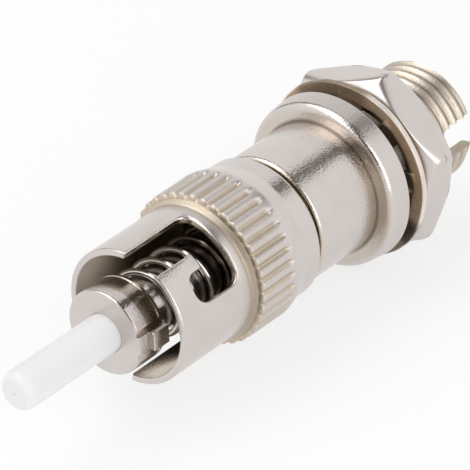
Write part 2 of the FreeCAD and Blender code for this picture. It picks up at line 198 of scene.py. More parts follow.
def count_steps(loop: Sequence[Spot], stride: float) -> list[int]:
    """Count the steps that each run of a closed outline needs to follow a cylinder.

    Args:
        loop: Points of the outline.
        stride: Longest step.

    Returns:
        The number of steps of each run.
    """
    counts = []
    for index, spot in enumerate(loop):
        run = Vector(loop[(index + 1) % len(loop)]) - Vector(spot)
        counts.append(max(1, math.ceil(run.length / stride)))
    return counts


def divide(loop: Sequence[Spot], counts: Sequence[int]) -> list[Spot]:
    """Split the runs of a closed outline into steps.

    Args:
        loop: Points of the outline.
        counts: The number of steps of each run.

    Returns:
        The outline with the added points.
    """
    spots: list[Spot] = []
    for index, (spot, parts) in enumerate(zip(loop, counts)):
        here, ahead = Vector(spot), Vector(loop[(index + 1) % len(loop)])
        for part in range(parts):
            spots.append(tuple(here.lerp(ahead, part / parts)))
    return spots


def ease(share: float) -> float:
    """Go smoothly from 0 to 1."""
    share = min(1.0, max(0.0, share))
    return share * share * (3 - 2 * share)


def around(x: float, radius: float, angle: float) -> Point:
    """Give the point at a distance along the axis, a radius and an angle in radians."""
    return (x, radius * math.cos(angle), radius * math.sin(angle))


def directions(angle: float) -> tuple[Vector, Vector]:
    """Give the directions outward and across at an angle in radians."""
    return Vector(around(0, 1, angle)), Vector((0, -math.sin(angle), math.cos(angle)))


def solid(name: str, points: Sequence[Point], faces: Sequence[Sequence[int]]) -> bpy.types.Object:
    """Make an object with its faces turned outward.

    Args:
        name: Name of the piece.
        points: Points in millimetres.
        faces: Point numbers of each face.

    Returns:
        The new object, linked to the scene.
    """
    mesh = bpy.data.meshes.new(name)
    mesh.from_pydata([tuple(value * MM for value in point) for point in points], [], faces)
    bench = bmesh.new()
    bench.from_mesh(mesh)
    bmesh.ops.recalc_face_normals(bench, faces=bench.faces)
    bench.to_mesh(mesh)
    bench.free()
    piece = bpy.data.objects.new(name, mesh)
    bpy.context.scene.collection.objects.link(piece)
    return piece


def skin(name: str, rows: Sequence[Sequence[Point]]) -> bpy.types.Object:
    """Make a closed ring of metal from rows of points that run round the axis.

    Args:
        name: Name of the piece.
        rows: Rows of points in millimetres, the last joined to the first.

    Returns:
        The new object, linked to the scene.
    """
    width, depth = len(rows[0]), len(rows)
    faces = []
    for down in range(depth):
        here, below = down * width, (down + 1) % depth * width
        for along in range(width):
            beside = (along + 1) % width
            faces.append((here + along, below + along, below + beside, here + beside))
    return solid(name, [point for row in rows for point in row], faces)


def turn(name: str, loop: Sequence[Spot], sides: int, shape: Optional[Shaper] = None) -> bpy.types.Object:
    """Turn a closed half section about the axis.

    Args:
        name: Name of the piece.
        loop: The half section as distances along the axis and radii.
        sides: Columns round the axis.
        shape: Changes the place and radius of each point by its angle, if given.

    Returns:
        The turned ring.
    """
    rows = []
    for x, radius in loop:
        row = []
        for column in range(sides):
            angle = 2 * math.pi * column / sides
            place, reach = shape(x, radius, angle) if shape else (x, radius)
            row.append(around(place, reach, angle))
        rows.append(row)
    return skin(name, rows)


def stack(name: str, levels: Sequence[Sequence[Point]]) -> bpy.types.Object:
    """Make a closed solid through outlines that all have the same number of points.

    Args:
        name: Name of the solid.
        levels: Outlines in millimetres, from one end to the other.

    Returns:
        The solid, with both ends closed.
    """
    width = len(levels[0])
    faces: list[Sequence[int]] = []
    for up in range(len(levels) - 1):
        low, high = up * width, (up + 1) * width
        for along in range(width):
            beside = (along + 1) % width
            faces.append((low + along, low + beside, high + beside, high + along))
    faces.append(tuple(reversed(range(width))))
    faces.append(tuple(range((len(levels) - 1) * width, len(levels) * width)))
    return solid(name, [point for level in levels for point in level], faces)


def work(piece: bpy.types.Object, tool: bpy.types.Object, join: Join) -> None:
    """Cut one solid from another or weld it on, and drop the tool.

    Args:
        piece: The solid that stays.
        tool: The solid that is used up.
        join: Which of the two is done.
    """
    step = piece.modifiers.new("work", "BOOLEAN")
    step.object = tool
    step.operation = join.value
    step.solver = "EXACT"
    bpy.context.view_layer.update()
    drawn = piece.evaluated_get(bpy.context.evaluated_depsgraph_get())
    mesh = bpy.data.meshes.new_from_object(drawn)
    piece.modifiers.clear()
    old = piece.data
    piece.data = mesh
    mesh.name = piece.name
    bpy.data.meshes.remove(old)
    bpy.data.objects.remove(tool)


class ShaderGroup:
    """A shader node group with named sockets, built once."""

    def __init__(self, name: str) -> None:
        """Start an empty group.

        Args:
            name: Name of the group.
        """
        self.tree = bpy.data.node_groups.new(name, "ShaderNodeTree")
        self.inlet = self.tree.nodes.new("NodeGroupInput")
        self.outlet = self.tree.nodes.new("NodeGroupOutput")

    def take(self, name: str, default: object, kind: str = "NodeSocketFloat") -> bpy.types.NodeSocket:
        """Add an input.

        Args:
            name: Name of the input.
            default: Value where nothing is linked.
            kind: Socket type.

        Returns:
            The socket to link from inside the group.
        """
        socket = self.tree.interface.new_socket(name, in_out="INPUT", socket_type=kind)
        socket.default_value = default
        return self.inlet.outputs[name]

    def give(self, name: str, source: bpy.types.NodeSocket, kind: str = "NodeSocketFloat") -> None:
        """Add an output and link it."""
        self.tree.interface.new_socket(name, in_out="OUTPUT", socket_type=kind)
        self.tree.links.new(source, self.outlet.inputs[name])


class Wiring:
    """Adds and links nodes in one tree."""

    MIX_SHARE: ClassVar[int] = 0
    MIX_FIRST: ClassVar[int] = 6
    MIX_SECOND: ClassVar[int] = 7
    MIX_RESULT: ClassVar[int] = 2

    def __init__(self, tree: bpy.types.NodeTree) -> None:
        """Work on a tree."""
        self.tree = tree

    def link(self, source: bpy.types.NodeSocket, target: bpy.types.NodeSocket) -> None:
        """Lead an output to an input."""
        self.tree.links.new(source, target)

    def put(self, kind: str, values: Optional[dict] = None, **settings: object) -> bpy.types.Node:
        """Add a node.

        Args:
            kind: Node type.
            values: Input name or number to a number, colour or socket.
            settings: Attributes of the node.

        Returns:
            The node.
        """
        node = self.tree.nodes.new(kind)
        for name, value in settings.items():
            setattr(node, name, value)
        for name, value in (values or {}).items():
            if isinstance(value, bpy.types.NodeSocket):
                self.link(value, node.inputs[name])
            else:
                node.inputs[name].default_value = value
        return node

    def maths(self, operation: str, *terms: object) -> bpy.types.NodeSocket:
        """Work out one step of arithmetic and give its result."""
        return self.put("ShaderNodeMath", dict(enumerate(terms)), operation=operation).outputs[0]

    def clamp(self, value: bpy.types.NodeSocket) -> bpy.types.NodeSocket:
        """Keep a value between 0 and 1."""
        return self.put("ShaderNodeClamp", {"Value": value}).outputs[0]

    def ramp(self, value: bpy.types.NodeSocket, low: object, high: object) -> bpy.types.NodeSocket:
        """Bring a value smoothly from low and high to 0 and 1.

        Args:
            value: The value.
            low: Number or socket that gives 0.
            high: Number or socket that gives 1.

        Returns:
            The result.
        """
        values = {"Value": value, "From Min": low, "From Max": high}
        return self.put("ShaderNodeMapRange", values, interpolation_type="SMOOTHSTEP").outputs["Result"]

    def blend(self, share: object, first: object, second: object) -> bpy.types.NodeSocket:
        """Mix two colours.

        Args:
            share: How much of the second colour shows.
            first: Colour or socket at 0.
            second: Colour or socket at 1.

        Returns:
            The mixed colour.
        """
        values = {self.MIX_SHARE: share, self.MIX_FIRST: first, self.MIX_SECOND: second}
        return self.put("ShaderNodeMix", values, data_type="RGBA").outputs[self.MIX_RESULT]

    def where(self) -> bpy.types.NodeSocket:
        """Give the place on the piece, in metres."""
        return self.put("ShaderNodeTexCoord").outputs["Object"]

    def noise(
        self, where: bpy.types.NodeSocket, scale: float, detail: float, roughness: float
    ) -> bpy.types.NodeSocket:
        """Add noise in space.

        Args:
            where: The place.
            scale: Waves to the metre.
            detail: Number of finer layers.
            roughness: Strength of the finer layers.

        Returns:
            The noise, from 0 to 1.
        """
        values = {"Vector": where, "Scale": scale, "Detail": detail, "Roughness": roughness}
        return self.put("ShaderNodeTexNoise", values).outputs["Fac"]


def group_metal_tone() -> bpy.types.NodeTree:
    """Build the colour and gloss of a worn surface: cloudy patches of wear, a tint laid in bands as painted
    warm shade and as stain, and a painted shade laid over both.

    Returns:
        The node group.
    """
    speck_share, even_share, middle_wear = 0.5, 0.75, 0.7
    group = ShaderGroup("metal_tone")
    wires = Wiring(group.tree)
    plain = group.take("Plain", (*NICKEL, 1), "NodeSocketColor")
    tint = group.take("Tint", (*GOLD_WEAR_AND_SHADE, 1), "NodeSocketColor")
    # share of the tint laid in bands: painted warm shade on the plate, stain on the washer
    gather = group.take("Warm Shade And Stain", 0.0)
    # colour and strength of the painted shade
    shade_colour = group.take("Shade Colour", (*PAINTED_SHADE_BROWN, 1), "NodeSocketColor")
    painted_shade = group.take("Painted Shade", 0.0)
    cloud = group.take("Cloud", 0.1)
    gloss = group.take("Roughness", 0.25)
    spread = group.take("Roughness Spread", 0.06)
    dull = group.take("Dull", 0.0)
    where = wires.where()
    patches = wires.ramp(wires.noise(where, scale=320.0, detail=4.0, roughness=0.6), low=0.42, high=0.72)
    specks = wires.ramp(wires.noise(where, scale=7000.0, detail=3.0, roughness=0.6), low=0.5, high=0.75)
    wear = wires.maths("ADD", patches, specks)
    drift = wires.maths("MULTIPLY", wear, cloud)
    broken = wires.maths("MULTIPLY", gather, wires.maths("MULTIPLY_ADD", specks, speck_share, even_share))
    share = wires.clamp(wires.maths("ADD", drift, broken))
    # the painted shade goes over the worn colour
    colour = wires.blend(painted_shade, wires.blend(share, plain, tint), shade_colour)
    group.give("Color", colour, "NodeSocketColor")
    swing = wires.maths("SUBTRACT", wear, middle_wear)
    even = wires.maths("ADD", gloss, wires.maths("MULTIPLY", swing, spread))
    group.give("Roughness", wires.maths("ADD", even, dull))
    return group.tree


def group_metal_grain() -> bpy.types.NodeTree:
    """Build the height of a plated turned surface: fine pitting and tool rings along the axis.

    Returns:
        The node group.
    """
    group = ShaderGroup("metal_grain")
    wires = Wiring(group.tree)
    pits = group.take("Pits", 0.5)
    rings = group.take("Rings", 0.5)
    where = wires.where()
    pitting = wires.noise(where, scale=7000.0, detail=2.0, roughness=0.5)
    along = wires.put("ShaderNodeSeparateXYZ", {"Vector": where}).outputs["X"]
    line = {"W": along, "Scale": 16000.0, "Detail": 2.0}
    turned = wires.put("ShaderNodeTexNoise", line, noise_dimensions="1D").outputs["Fac"]
    sunk, ridged = wires.maths("MULTIPLY", pitting, pits), wires.maths("MULTIPLY", turned, rings)
    group.give("Height", wires.maths("ADD", sunk, ridged))
    return group.tree


def group_band() -> bpy.types.NodeTree:
    """Build a mask that is 1 inside a band of the axis and below a radius, for painted shade, stain and
    dullness.

    It can lean to one side of the axis.

    Returns:
        The node group.
    """
    group = ShaderGroup("recess_band")
    wires = Wiring(group.tree)
    start = group.take("Start", 0.0)
    end = group.take("End", 0.0)
    deep = group.take("Deep Radius", 0.0)
    top = group.take("Top Radius", 0.0)
    soft = group.take("Soft", 0.00003)
    side = group.take("Side", (0, 0, 0), "NodeSocketVector")
    lean = group.take("Lean", 0.0)
    edge = group.take("Side Edge", 0.4)
    core = group.take("Side Core", 0.95)

    def past(limit: bpy.types.NodeSocket) -> bpy.types.NodeSocket:
        """Give a value that goes from 0 to 1 at a distance along the axis."""
        return wires.ramp(along, wires.maths("SUBTRACT", limit, soft), wires.maths("ADD", limit, soft))

    split = wires.put("ShaderNodeSeparateXYZ", {"Vector": wires.where()})
    along = split.outputs["X"]
    flat = wires.put("ShaderNodeCombineXYZ", {"Y": split.outputs["Y"], "Z": split.outputs["Z"]}).outputs[0]
    reach = wires.put("ShaderNodeVectorMath", {0: flat}, operation="LENGTH").outputs["Value"]
    low = wires.maths("SUBTRACT", 1.0, wires.ramp(reach, deep, top))
    inside = wires.maths("MULTIPLY", past(start), wires.maths("SUBTRACT", 1.0, past(end)))
    facing = wires.put("ShaderNodeVectorMath", {0: flat, 1: side}, operation="DOT_PRODUCT").outputs["Value"]
    near = wires.ramp(wires.maths("DIVIDE", facing, reach), edge, core)
    lost = wires.maths("MULTIPLY", lean, wires.maths("SUBTRACT", 1.0, near))
    band = wires.maths("MULTIPLY", inside, low)
    group.give("Mask", wires.maths("MULTIPLY", band, wires.maths("SUBTRACT", 1.0, lost)))
    return group.tree


class Groups:
    """The shared node groups."""

    def __init__(self) -> None:
        """Build each group once."""
        self.tone = group_metal_tone()
        self.grain = group_metal_grain()
        self.band = group_band()


@dataclass(frozen=True)
class Recess:
    """A band of the axis, in millimetres, below a radius, where a finish lays a painted shade, a stain or
    dullness.

    It is full up to the deep radius and gone at the top radius. It goes all round, or lies on the side
    of an angle in degrees, in full over its core and fading to its edge.
    """

    start: float
    end: float
    deep: float
    top: float
    strength: float
    soft: float = 0.03
    toward: Optional[float] = None
    core: float = 18
    edge: float = 66

    def inputs(self) -> dict[str, object]:
        """Give the values for the band group.

        Returns:
            Values by the names of the inputs, in metres.
        """
        values: dict[str, object] = {
            "Start": self.start * MM,
            "End": self.end * MM,
            "Deep Radius": self.deep * MM,
            "Top Radius": self.top * MM,
            "Soft": self.soft * MM,
        }
        if self.toward is not None:
            values["Side"] = around(0, 1, math.radians(self.toward))
            values["Lean"] = 1.0
            values["Side Core"] = math.cos(math.radians(self.core))
            values["Side Edge"] = math.cos(math.radians(self.edge))
        return values


@dataclass(frozen=True)
class Finish:
    """A finish that takes its colour and gloss from the shared worn tone."""

    name: str
    plain: Colour

    def start(
        self, groups: Groups, values: dict[str, object]
    ) -> tuple[bpy.types.Material, bpy.types.Node, bpy.types.Node]:
        """Make a material and lead the tone to its shader.

        Args:
            groups: The shared node groups.
            values: Values for the tone group.

        Returns:
            The material, its shader and its tone.
        """
        material = bpy.data.materials.new(self.name)
        material.use_nodes = True
        wires = Wiring(material.node_tree)
        shader = material.node_tree.nodes["Principled BSDF"]
        tone = wires.put("ShaderNodeGroup", {"Plain": (*self.plain, 1), **values}, node_tree=groups.tone)
        wires.link(tone.outputs["Color"], shader.inputs["Base Color"])
        wires.link(tone.outputs["Roughness"], shader.inputs["Roughness"])
        return material, shader, tone

    def faded(self, share: float) -> tuple[float, ...]:
        """Give a share of the plain colour."""
        return (*(value * share for value in self.plain), 1)


@dataclass(frozen=True)
class MetalFinish(Finish):
    """A plated or bare metal finish, by default the satin plate of the large pieces."""

    plain: Colour = NICKEL
    tint: Colour = GOLD_WEAR_AND_SHADE
    cloud: float = 0.16
    roughness: float = 0.25
    spread: float = 0.05
    pits: float = 1.0
    rings: float = 0.3
    relief: float = 0.8
    metallic: float = 1.0
    # colour of the painted shade
    shade_colour: Colour = PAINTED_SHADE_BROWN
    # bands of tint: painted warm shade on the plated pieces, stain on the washer
    warm_shade_and_stain: tuple[Recess, ...] = ()
    # bands of painted shade
    painted_shades: tuple[Recess, ...] = ()
    dulls: tuple[Recess, ...] = ()

    def gather(
        self, wires: Wiring, groups: Groups, bands: Sequence[Recess], socket: bpy.types.NodeSocket
    ) -> None:
        """Lead the strongest of several bands to one input.

        Args:
            wires: The material's wiring.
            groups: The shared node groups.
            bands: The bands, which may be none.
            socket: The input.
        """
        total = None
        for recess in bands:
            band = wires.put("ShaderNodeGroup", recess.inputs(), node_tree=groups.band)
            share = wires.maths("MULTIPLY", band.outputs["Mask"], recess.strength)
            total = share if total is None else wires.maths("MAXIMUM", total, share)
        if total is not None:
            wires.link(total, socket)

    def make(self, groups: Groups) -> bpy.types.Material:
        """Build the material.

        Args:
            groups: The shared node groups.

        Returns:
            The material.
        """
        material, shader, tone = self.start(groups, {
            "Tint": (*self.tint, 1),
            "Shade Colour": (*self.shade_colour, 1),
            "Cloud": self.cloud,
            "Roughness": self.roughness,
            "Roughness Spread": self.spread,
        })
        material.diffuse_color = (*self.plain, 1)
        shader.inputs["Metallic"].default_value = self.metallic
        wires = Wiring(material.node_tree)
        self.gather(wires, groups, self.warm_shade_and_stain, tone.inputs["Warm Shade And Stain"])
        self.gather(wires, groups, self.painted_shades, tone.inputs["Painted Shade"])
        self.gather(wires, groups, self.dulls, tone.inputs["Dull"])
        marks = {"Pits": self.pits, "Rings": self.rings}
        grain = wires.put("ShaderNodeGroup", marks, node_tree=groups.grain)
        relief ={"Height": grain.outputs["Height"], "Strength": self.relief, "Distance": GRAIN_HEIGHT}
        wires.link(wires.put("ShaderNodeBump", relief).outputs["Normal"], shader.inputs["Normal"])
        return material


@dataclass(frozen=True)
class CeramicFinish(Finish):
    """Polished white ceramic."""

    roughness: float
    spread: float = 0.01
    cloud: float = 0.12
    cloud_shade: float = 0.94
    refraction: float = 2.1
    specular: float = 0.15

    def make(self, groups: Groups) -> bpy.types.Material:
        """Build the material.

        Args:
            groups: The shared node groups.

        Returns:
            The material.
        """
        material, shader, _ = self.start(groups, {
            "Tint": self.faded(self.cloud_shade),
            "Cloud": self.cloud,
            "Roughness": self.roughness,
            "Roughness Spread": self.spread,
        })
        material.diffuse_color = (*self.plain, 1)
        shader.inputs["IOR"].default_value = self.refraction
        shader.inputs["Specular IOR Level"].default_value = self.specular
        return material


@dataclass(frozen=True)
class GlassFinish(Finish):
    """Clear glass of the fibre."""

    roughness: float = 0.1
    spread: float = 0.02
    cloud_shade: float = 0.9
    refraction: float = 1.46
    clearness: float = 0.3

    def make(self, groups: Groups) -> bpy.types.Material:
        """Build the material.

        Args:
            groups: The shared node groups.

        Returns:
            The material.
        """
        material, shader, _ = self.start(groups, {
            "Tint": self.faded(self.cloud_shade),
            "Roughness": self.roughness,
            "Roughness Spread": self.spread,
        })
        shader.inputs["IOR"].default_value = self.refraction
        shader.inputs["Transmission Weight"].default_value = self.clearness
        return material


NUT_PLATE = MetalFinish(
    "nut_plate",
    warm_shade_and_stain=(
        # painted warm shade in the grooves of the knurl
        Recess(-13.62, -10.2, 4.84, 4.97, 0.8),
        # painted warm shade on the step in front of the knurl
        Recess(-13.9, -13.2, 4.62, 4.8, 0.65),
        # painted warm shade inside the sleeve and on the walls of its slots
        Recess(-19.7, -14.3, 4.22, 4.34, 0.7),
    ),
    painted_shades=(
        # painted shade in the depth of the nut
        Recess(-15.4, -9.0, 3.96, 4.06, 0.75, soft=1.2),
        # painted shade at the front ends of the ridges, on their near side
        Recess(-13.42, -13.26, 4.76, 4.9, 0.6, toward=150, core=30, edge=58),
        # painted shade on the near side of the step
        Recess(-13.78, -13.3, 4.66, 4.86, 0.34, soft=0.12, toward=165, core=30, edge=75),
    ),
    dulls=(
        # grip
        Recess(-14.2, -10.3, 5.1, 5.2, 0.26, soft=0.6),
        # inside of the sleeve on its far side
        Recess(-19.75, -13.0, 4.0, 4.1, 0.3, soft=0.1, toward=40),
    ),
)
BARREL_PLATE = MetalFinish(
    "barrel_plate",
    # painted warm shade on the boss and front face, in the gap behind the nut
    warm_shade_and_stain=(Recess(-7.6, -6.8, 4.2, 4.37, 0.8),),
)
HOUSING_PLATE = MetalFinish(
    "housing_plate",
    warm_shade_and_stain=(
        # painted warm shade on the flange's front face, all round and on its near side
        Recess(-1.7, -1.55, 5.0, 5.3, 0.3),
        Recess(-1.7, -1.5, 5.1, 5.4, 0.7, toward=165),
        # painted warm shade on the thread
        Recess(0.1, 9.2, 3.7, 4.2, 0.7),
    ),
    painted_shades=(
        # painted shade in the corner between barrel and flange
        Recess(-1.7, -1.6, 4.37, 4.66, 0.75),
        # painted shade on the flange's front face on its near side
        Recess(-1.7, -1.5, 5.1, 5.4, 0.25, toward=165),
        # painted shade in the roots of the thread
        Recess(0.1, 9.2, 3.73, 3.9, 0.35),
        # painted shade on the thread under the washer
        Recess(0.2, 1.9, 4.1, 4.3, 0.75, soft=0.2, toward=140, core=40, edge=60),
    ),
    dulls=(
        # thread
        Recess(0.1, 9.2, 5.0, 5.1, 0.15),
        # flange's band
        Recess(-1.25, 0.1, 7.0, 8.0, 0.1, soft=0.15),
    ),
)
HEX_PLATE = MetalFinish(
    "hex_plate",
    cloud=0.05,
    roughness=0.33,
    spread=0.06,
    pits=0.7,
    rings=0.0,
    relief=0.3,
    # painted shade on the front face under the washer
    painted_shades=(Recess(1.8, 1.9, 4.9, 5.2, 0.85),),
)
COLLAR_PLATE = MetalFinish(
    "collar_plate",
    tint=(0.36, 0.28, 0.21),
    cloud=0.14,
    roughness=0.22,
    spread=0.08,
    pits=0.8,
    rings=0.4,
    relief=0.7,
    warm_shade_and_stain=(
        # painted warm shade on the rear half of the collar, above the key
        Recess(-21.0, -19.0, 3.2, 3.4, 0.75, soft=0.15, toward=112, core=42, edge=60),
        # painted warm shade on the collar in front of the key and below it
        Recess(-21.78, -20.9, 3.2, 3.4, 0.42, soft=0.08, toward=190, core=30, edge=60),
    ),
    # painted shade on the rear half again, nearer to the key
    painted_shades=(Recess(-20.9, -19.0, 3.2, 3.4, 0.5, soft=0.12, toward=138, core=20, edge=36),),
)
WASHER_METAL = MetalFinish(
    "washer_metal",
    plain=(0.84, 0.78, 0.73),
    tint=(0.46, 0.3, 0.165),
    cloud=0.25,
    roughness=0.35,
    spread=0.12,
    rings=0.0,
    metallic=0.4,
    # near-black of the washer's painted shade and shadow
    shade_colour=(0.03, 0.021, 0.015),
    warm_shade_and_stain=(
        # stain on the faces and teeth
        Recess(0.2, 1.8, 5.74, 5.88, 1.0),
        # stain on the top side, out to the rim
        Recess(0.2, 1.8, 7.0, 8.0, 0.95, toward=75, core=22, edge=34),
    ),
    painted_shades=(
        # painted shade on the top side, out to the rim
        Recess(0.2, 1.8, 7.0, 8.0, 0.5, toward=75, core=22, edge=34),
        # painted shadow on the teeth on the near side
        Recess(0.2, 1.8, 5.05, 5.3, 0.9, toward=143, core=30, edge=40),
        # painted shadow at two places on the lower near side
        Recess(0.2, 1.8, 5.84, 5.96, 0.97, toward=210, core=4, edge=16),
        Recess(0.2, 1.8, 5.84, 5.96, 0.6, toward=226, core=10, edge=26),
    ),
)
SPRING_WIRE = MetalFinish(
    "spring_wire_steel",
    plain=(0.62, 0.59, 0.565),
    cloud=0.04,
    roughness=0.2,
    spread=0.04,
    pits=0.4,
    rings=0.0,
    relief=0.4,
    # painted shade on the turns deep inside the nut
    painted_shades=(Recess(-14.2, -9, 5, 6, 0.8, soft=0.3),),
)
CERAMIC = CeramicFinish("white_ceramic", (0.86, 0.855, 0.86), roughness=0.45)
FIBRE_GLASS = GlassFinish("fibre_glass", (0.9, 0.92, 0.94))


class Piece:
    """A piece that stands for one solid of the frame."""

    BODY: ClassVar[Body] = Body.ADAPTER
    NODE: ClassVar[str]
    SLOT: ClassVar[Slot] = Slot.NICKEL_PLATE
    SHARP: ClassVar[float] = 28

    def build(self) -> bpy.types.Object:
        """Make the piece, each in its own way."""
        raise NotImplementedError

    def dress(self, piece: bpy.types.Object, material: bpy.types.Material) -> None:
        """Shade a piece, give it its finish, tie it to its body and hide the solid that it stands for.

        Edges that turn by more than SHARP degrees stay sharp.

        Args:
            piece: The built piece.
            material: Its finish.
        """
        piece.data.shade_smooth()
        piece.data.set_sharp_from_angle(angle=math.radians(self.SHARP))
        piece.data.materials.append(material)
        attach(piece, self.BODY.value)
        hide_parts(self.NODE)
        LOG.info("%s rides on %s with %d faces", piece.name, self.BODY.value, len(piece.data.polygons))


@dataclass
class Ferrule(Piece):
    """The white rod at the tip."""

    NODE: ClassVar[str] = "st_ferrule"
    SLOT: ClassVar[Slot] = Slot.ZIRCONIA

    front: float = -29.6
    length: float = 10.5
    radius: float = 1.25
    tip_radius: float = 1.0
    tip_chamfer: float = 0.45
    tip_round: float = 0.4
    shoulder_round: float = 1.0
    foot_chamfer: float = 0.3
    foot_round: float = 0.1
    bore: float = 0.0625
    round_steps: int = 7
    brace_gap: float = 0.05
    sides: int = 128

    def build(self) -> bpy.types.Object:
        """Turn the rod with soft edges.

        Returns:
            The piece.
        """
        corners = [
            (0, self.bore, 0),
            (0, self.tip_radius, self.tip_round),
            (self.tip_chamfer, self.radius, self.shoulder_round),
            (self.length - self.foot_chamfer, self.radius, self.foot_round),
            (self.length, self.radius - self.foot_chamfer, 0),
            (self.length, self.bore, 0),
        ]
        return turn("ferrule", section(self.front, corners, self.round_steps, self.brace_gap), self.sides)


@dataclass
class FerruleHolder(Piece):
    """The keyed collar and its stem."""

    NODE: ClassVar[str] = "ferrule_holder"

    front: float = -21.85
    length: float = 17.85
    collar_length: float = 2.32
    collar_radius: float = 2.72
    collar_round: float = 0.14
    collar_edge: float = 0.12
    collar_edge_round: float = 0.04
    line_at: float = 0.42
    line_depth: float = 0.07
    line_round: float = 0.02
    stem_radius: float = 1.85
    stem_root_round: float = 0.05
    stem_end_round: float = 0.12
    seat: float = 1.25
    seat_front_round: float = 0.06
    seat_rear_round: float = 0.04
    ferrule_seat: float = 2.75
    passage: float = 0.5
    stub_seat: float = 3.0
    key_angle: float = 177
    key_front: float = 0.9
    key_length: float = 1.35
    key_half_width: float = 0.6
    key_top: float = 3.05
    key_root: float = 2.3
    key_round: float = 0.06
    groove_floor: float = 2.48
    groove_inner: float = 0.6
    groove_outer: float = 1.17
    groove_reach: float = 3.6
    groove_lead: float = 0.5
    groove_trail: float = 0.3
    groove_round: float = 0.05
    block_foot_round: float = 0.02
    block_steps: int = 3
    round_steps: int = 4
    brace_gap: float = 0.03
    sides: int = 192

    def block(self, name: str, x: Spot, side: Spot, reach: Spot, soft: float) -> bpy.types.Object:
        """Make a block with rounded long edges at the key's angle.

        Args:
            name: Name of the block.
            x: Its start and end along the axis.
            side: Its two sides across the key.
            reach: Its inner and outer radius.
            soft: Radius of its edges.

        Returns:
            The block.
        """
        outward, across = directions(math.radians(self.key_angle))
        foot = self.block_foot_round
        levels = []
        for along, inset in ((x[0], soft), (x[0] + soft, 0), (x[1] - soft, 0), (x[1], soft)):
            corners = [
                (reach[0], side[0] + inset, foot),
                (reach[1] - inset, side[0] + inset, soft),
                (reach[1] - inset, side[1] - inset, soft),
                (reach[0], side[1] - inset, foot),
            ]
            ring = []
            for radius, offset in soften(corners, self.block_steps):
                spot = outward * radius + across * offset
                ring.append((self.front + along, spot.y, spot.z))
            levels.append(ring)
        return stack(name, levels)

    def build(self) -> bpy.types.Object:
        """Turn the collar and stem, mill the grooves and leave the key.

        Returns:
            The piece.
        """
        line = self.collar_length - self.line_at
        corners = [
            (0, self.seat, self.seat_front_round),
            (0, self.collar_radius, self.collar_round),
            (line, self.collar_radius, self.line_round),
            (line + self.line_depth, self.collar_radius - self.line_depth, 0),
            (line + 2 * self.line_depth, self.collar_radius, self.line_round),
            (self.collar_length - self.collar_edge, self.collar_radius, self.collar_edge_round),
            (self.collar_length, self.collar_radius - self.collar_edge, self.collar_edge_round),
            (self.collar_length, self.stem_radius, self.stem_root_round),
            (self.length, self.stem_radius, self.stem_end_round),
            (self.length, self.seat, self.seat_rear_round),
            (self.length - self.stub_seat, self.seat, 0),
            (self.length - self.stub_seat, self.passage, 0),
            (self.ferrule_seat, self.passage, 0),
            (self.ferrule_seat, self.seat, 0),
        ]
        loop = section(self.front, corners, self.round_steps, self.brace_gap)
        piece = turn("ferrule_holder_collar", loop, self.sides)
        run = (-self.groove_lead, self.collar_length + self.groove_trail)
        depth = (self.groove_floor, self.groove_reach)
        for sides in ((self.groove_inner, self.groove_outer), (-self.groove_outer, -self.groove_inner)):
            work(piece, self.block("groove", run, sides, depth, self.groove_round), Join.CUT)
        key = self.block(
            "key",
            (self.key_front, self.key_front + self.key_length),
            (-self.key_half_width, self.key_half_width),
            (self.key_root, self.key_top),
            self.key_round,
        )
        work(piece, key, Join.WELD)
        return piece


@dataclass
class Spring(Piece):
    """The wire coil round the stem."""

    NODE: ClassVar[str] = "coil_spring"
    SLOT: ClassVar[Slot] = Slot.SPRING_WIRE
    SHARP: ClassVar[float] = 50

    start: float = -19.31
    height: float = 9.39
    pitch: float = 1.55
    mean_radius: float = 2.18
    wire: float = 0.22
    start_angle: float = 170
    travel: float = 2.6
    chords: int = 72
    sides: int = 20

    def build(self) -> bpy.types.Object:
        """Wind the wire, right-handed along the axis.

        Returns:
            The piece.
        """
        turns = self.height / self.pitch
        count = round(turns * self.chords)
        levels = []
        for step in range(count + 1):
            share = step / count
            angle = math.radians(self.start_angle) + 2 * math.pi * turns * share
            x = self.start + self.height * share
            ring = []
            for side in range(self.sides):
                about = 2 * math.pi * side / self.sides
                radius = self.mean_radius + self.wire * math.cos(about)
                ring.append(around(x + self.wire * math.sin(about), radius, angle))
            levels.append(ring)
        return stack("spring", levels)

    def dress(self, piece: bpy.types.Object, material: bpy.types.Material) -> None:
        """Dress the wire and give it a mesh of its own.

        Args:
            piece: The built piece.
            material: Its finish.
        """
        super().dress(piece, material)
        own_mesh(piece)


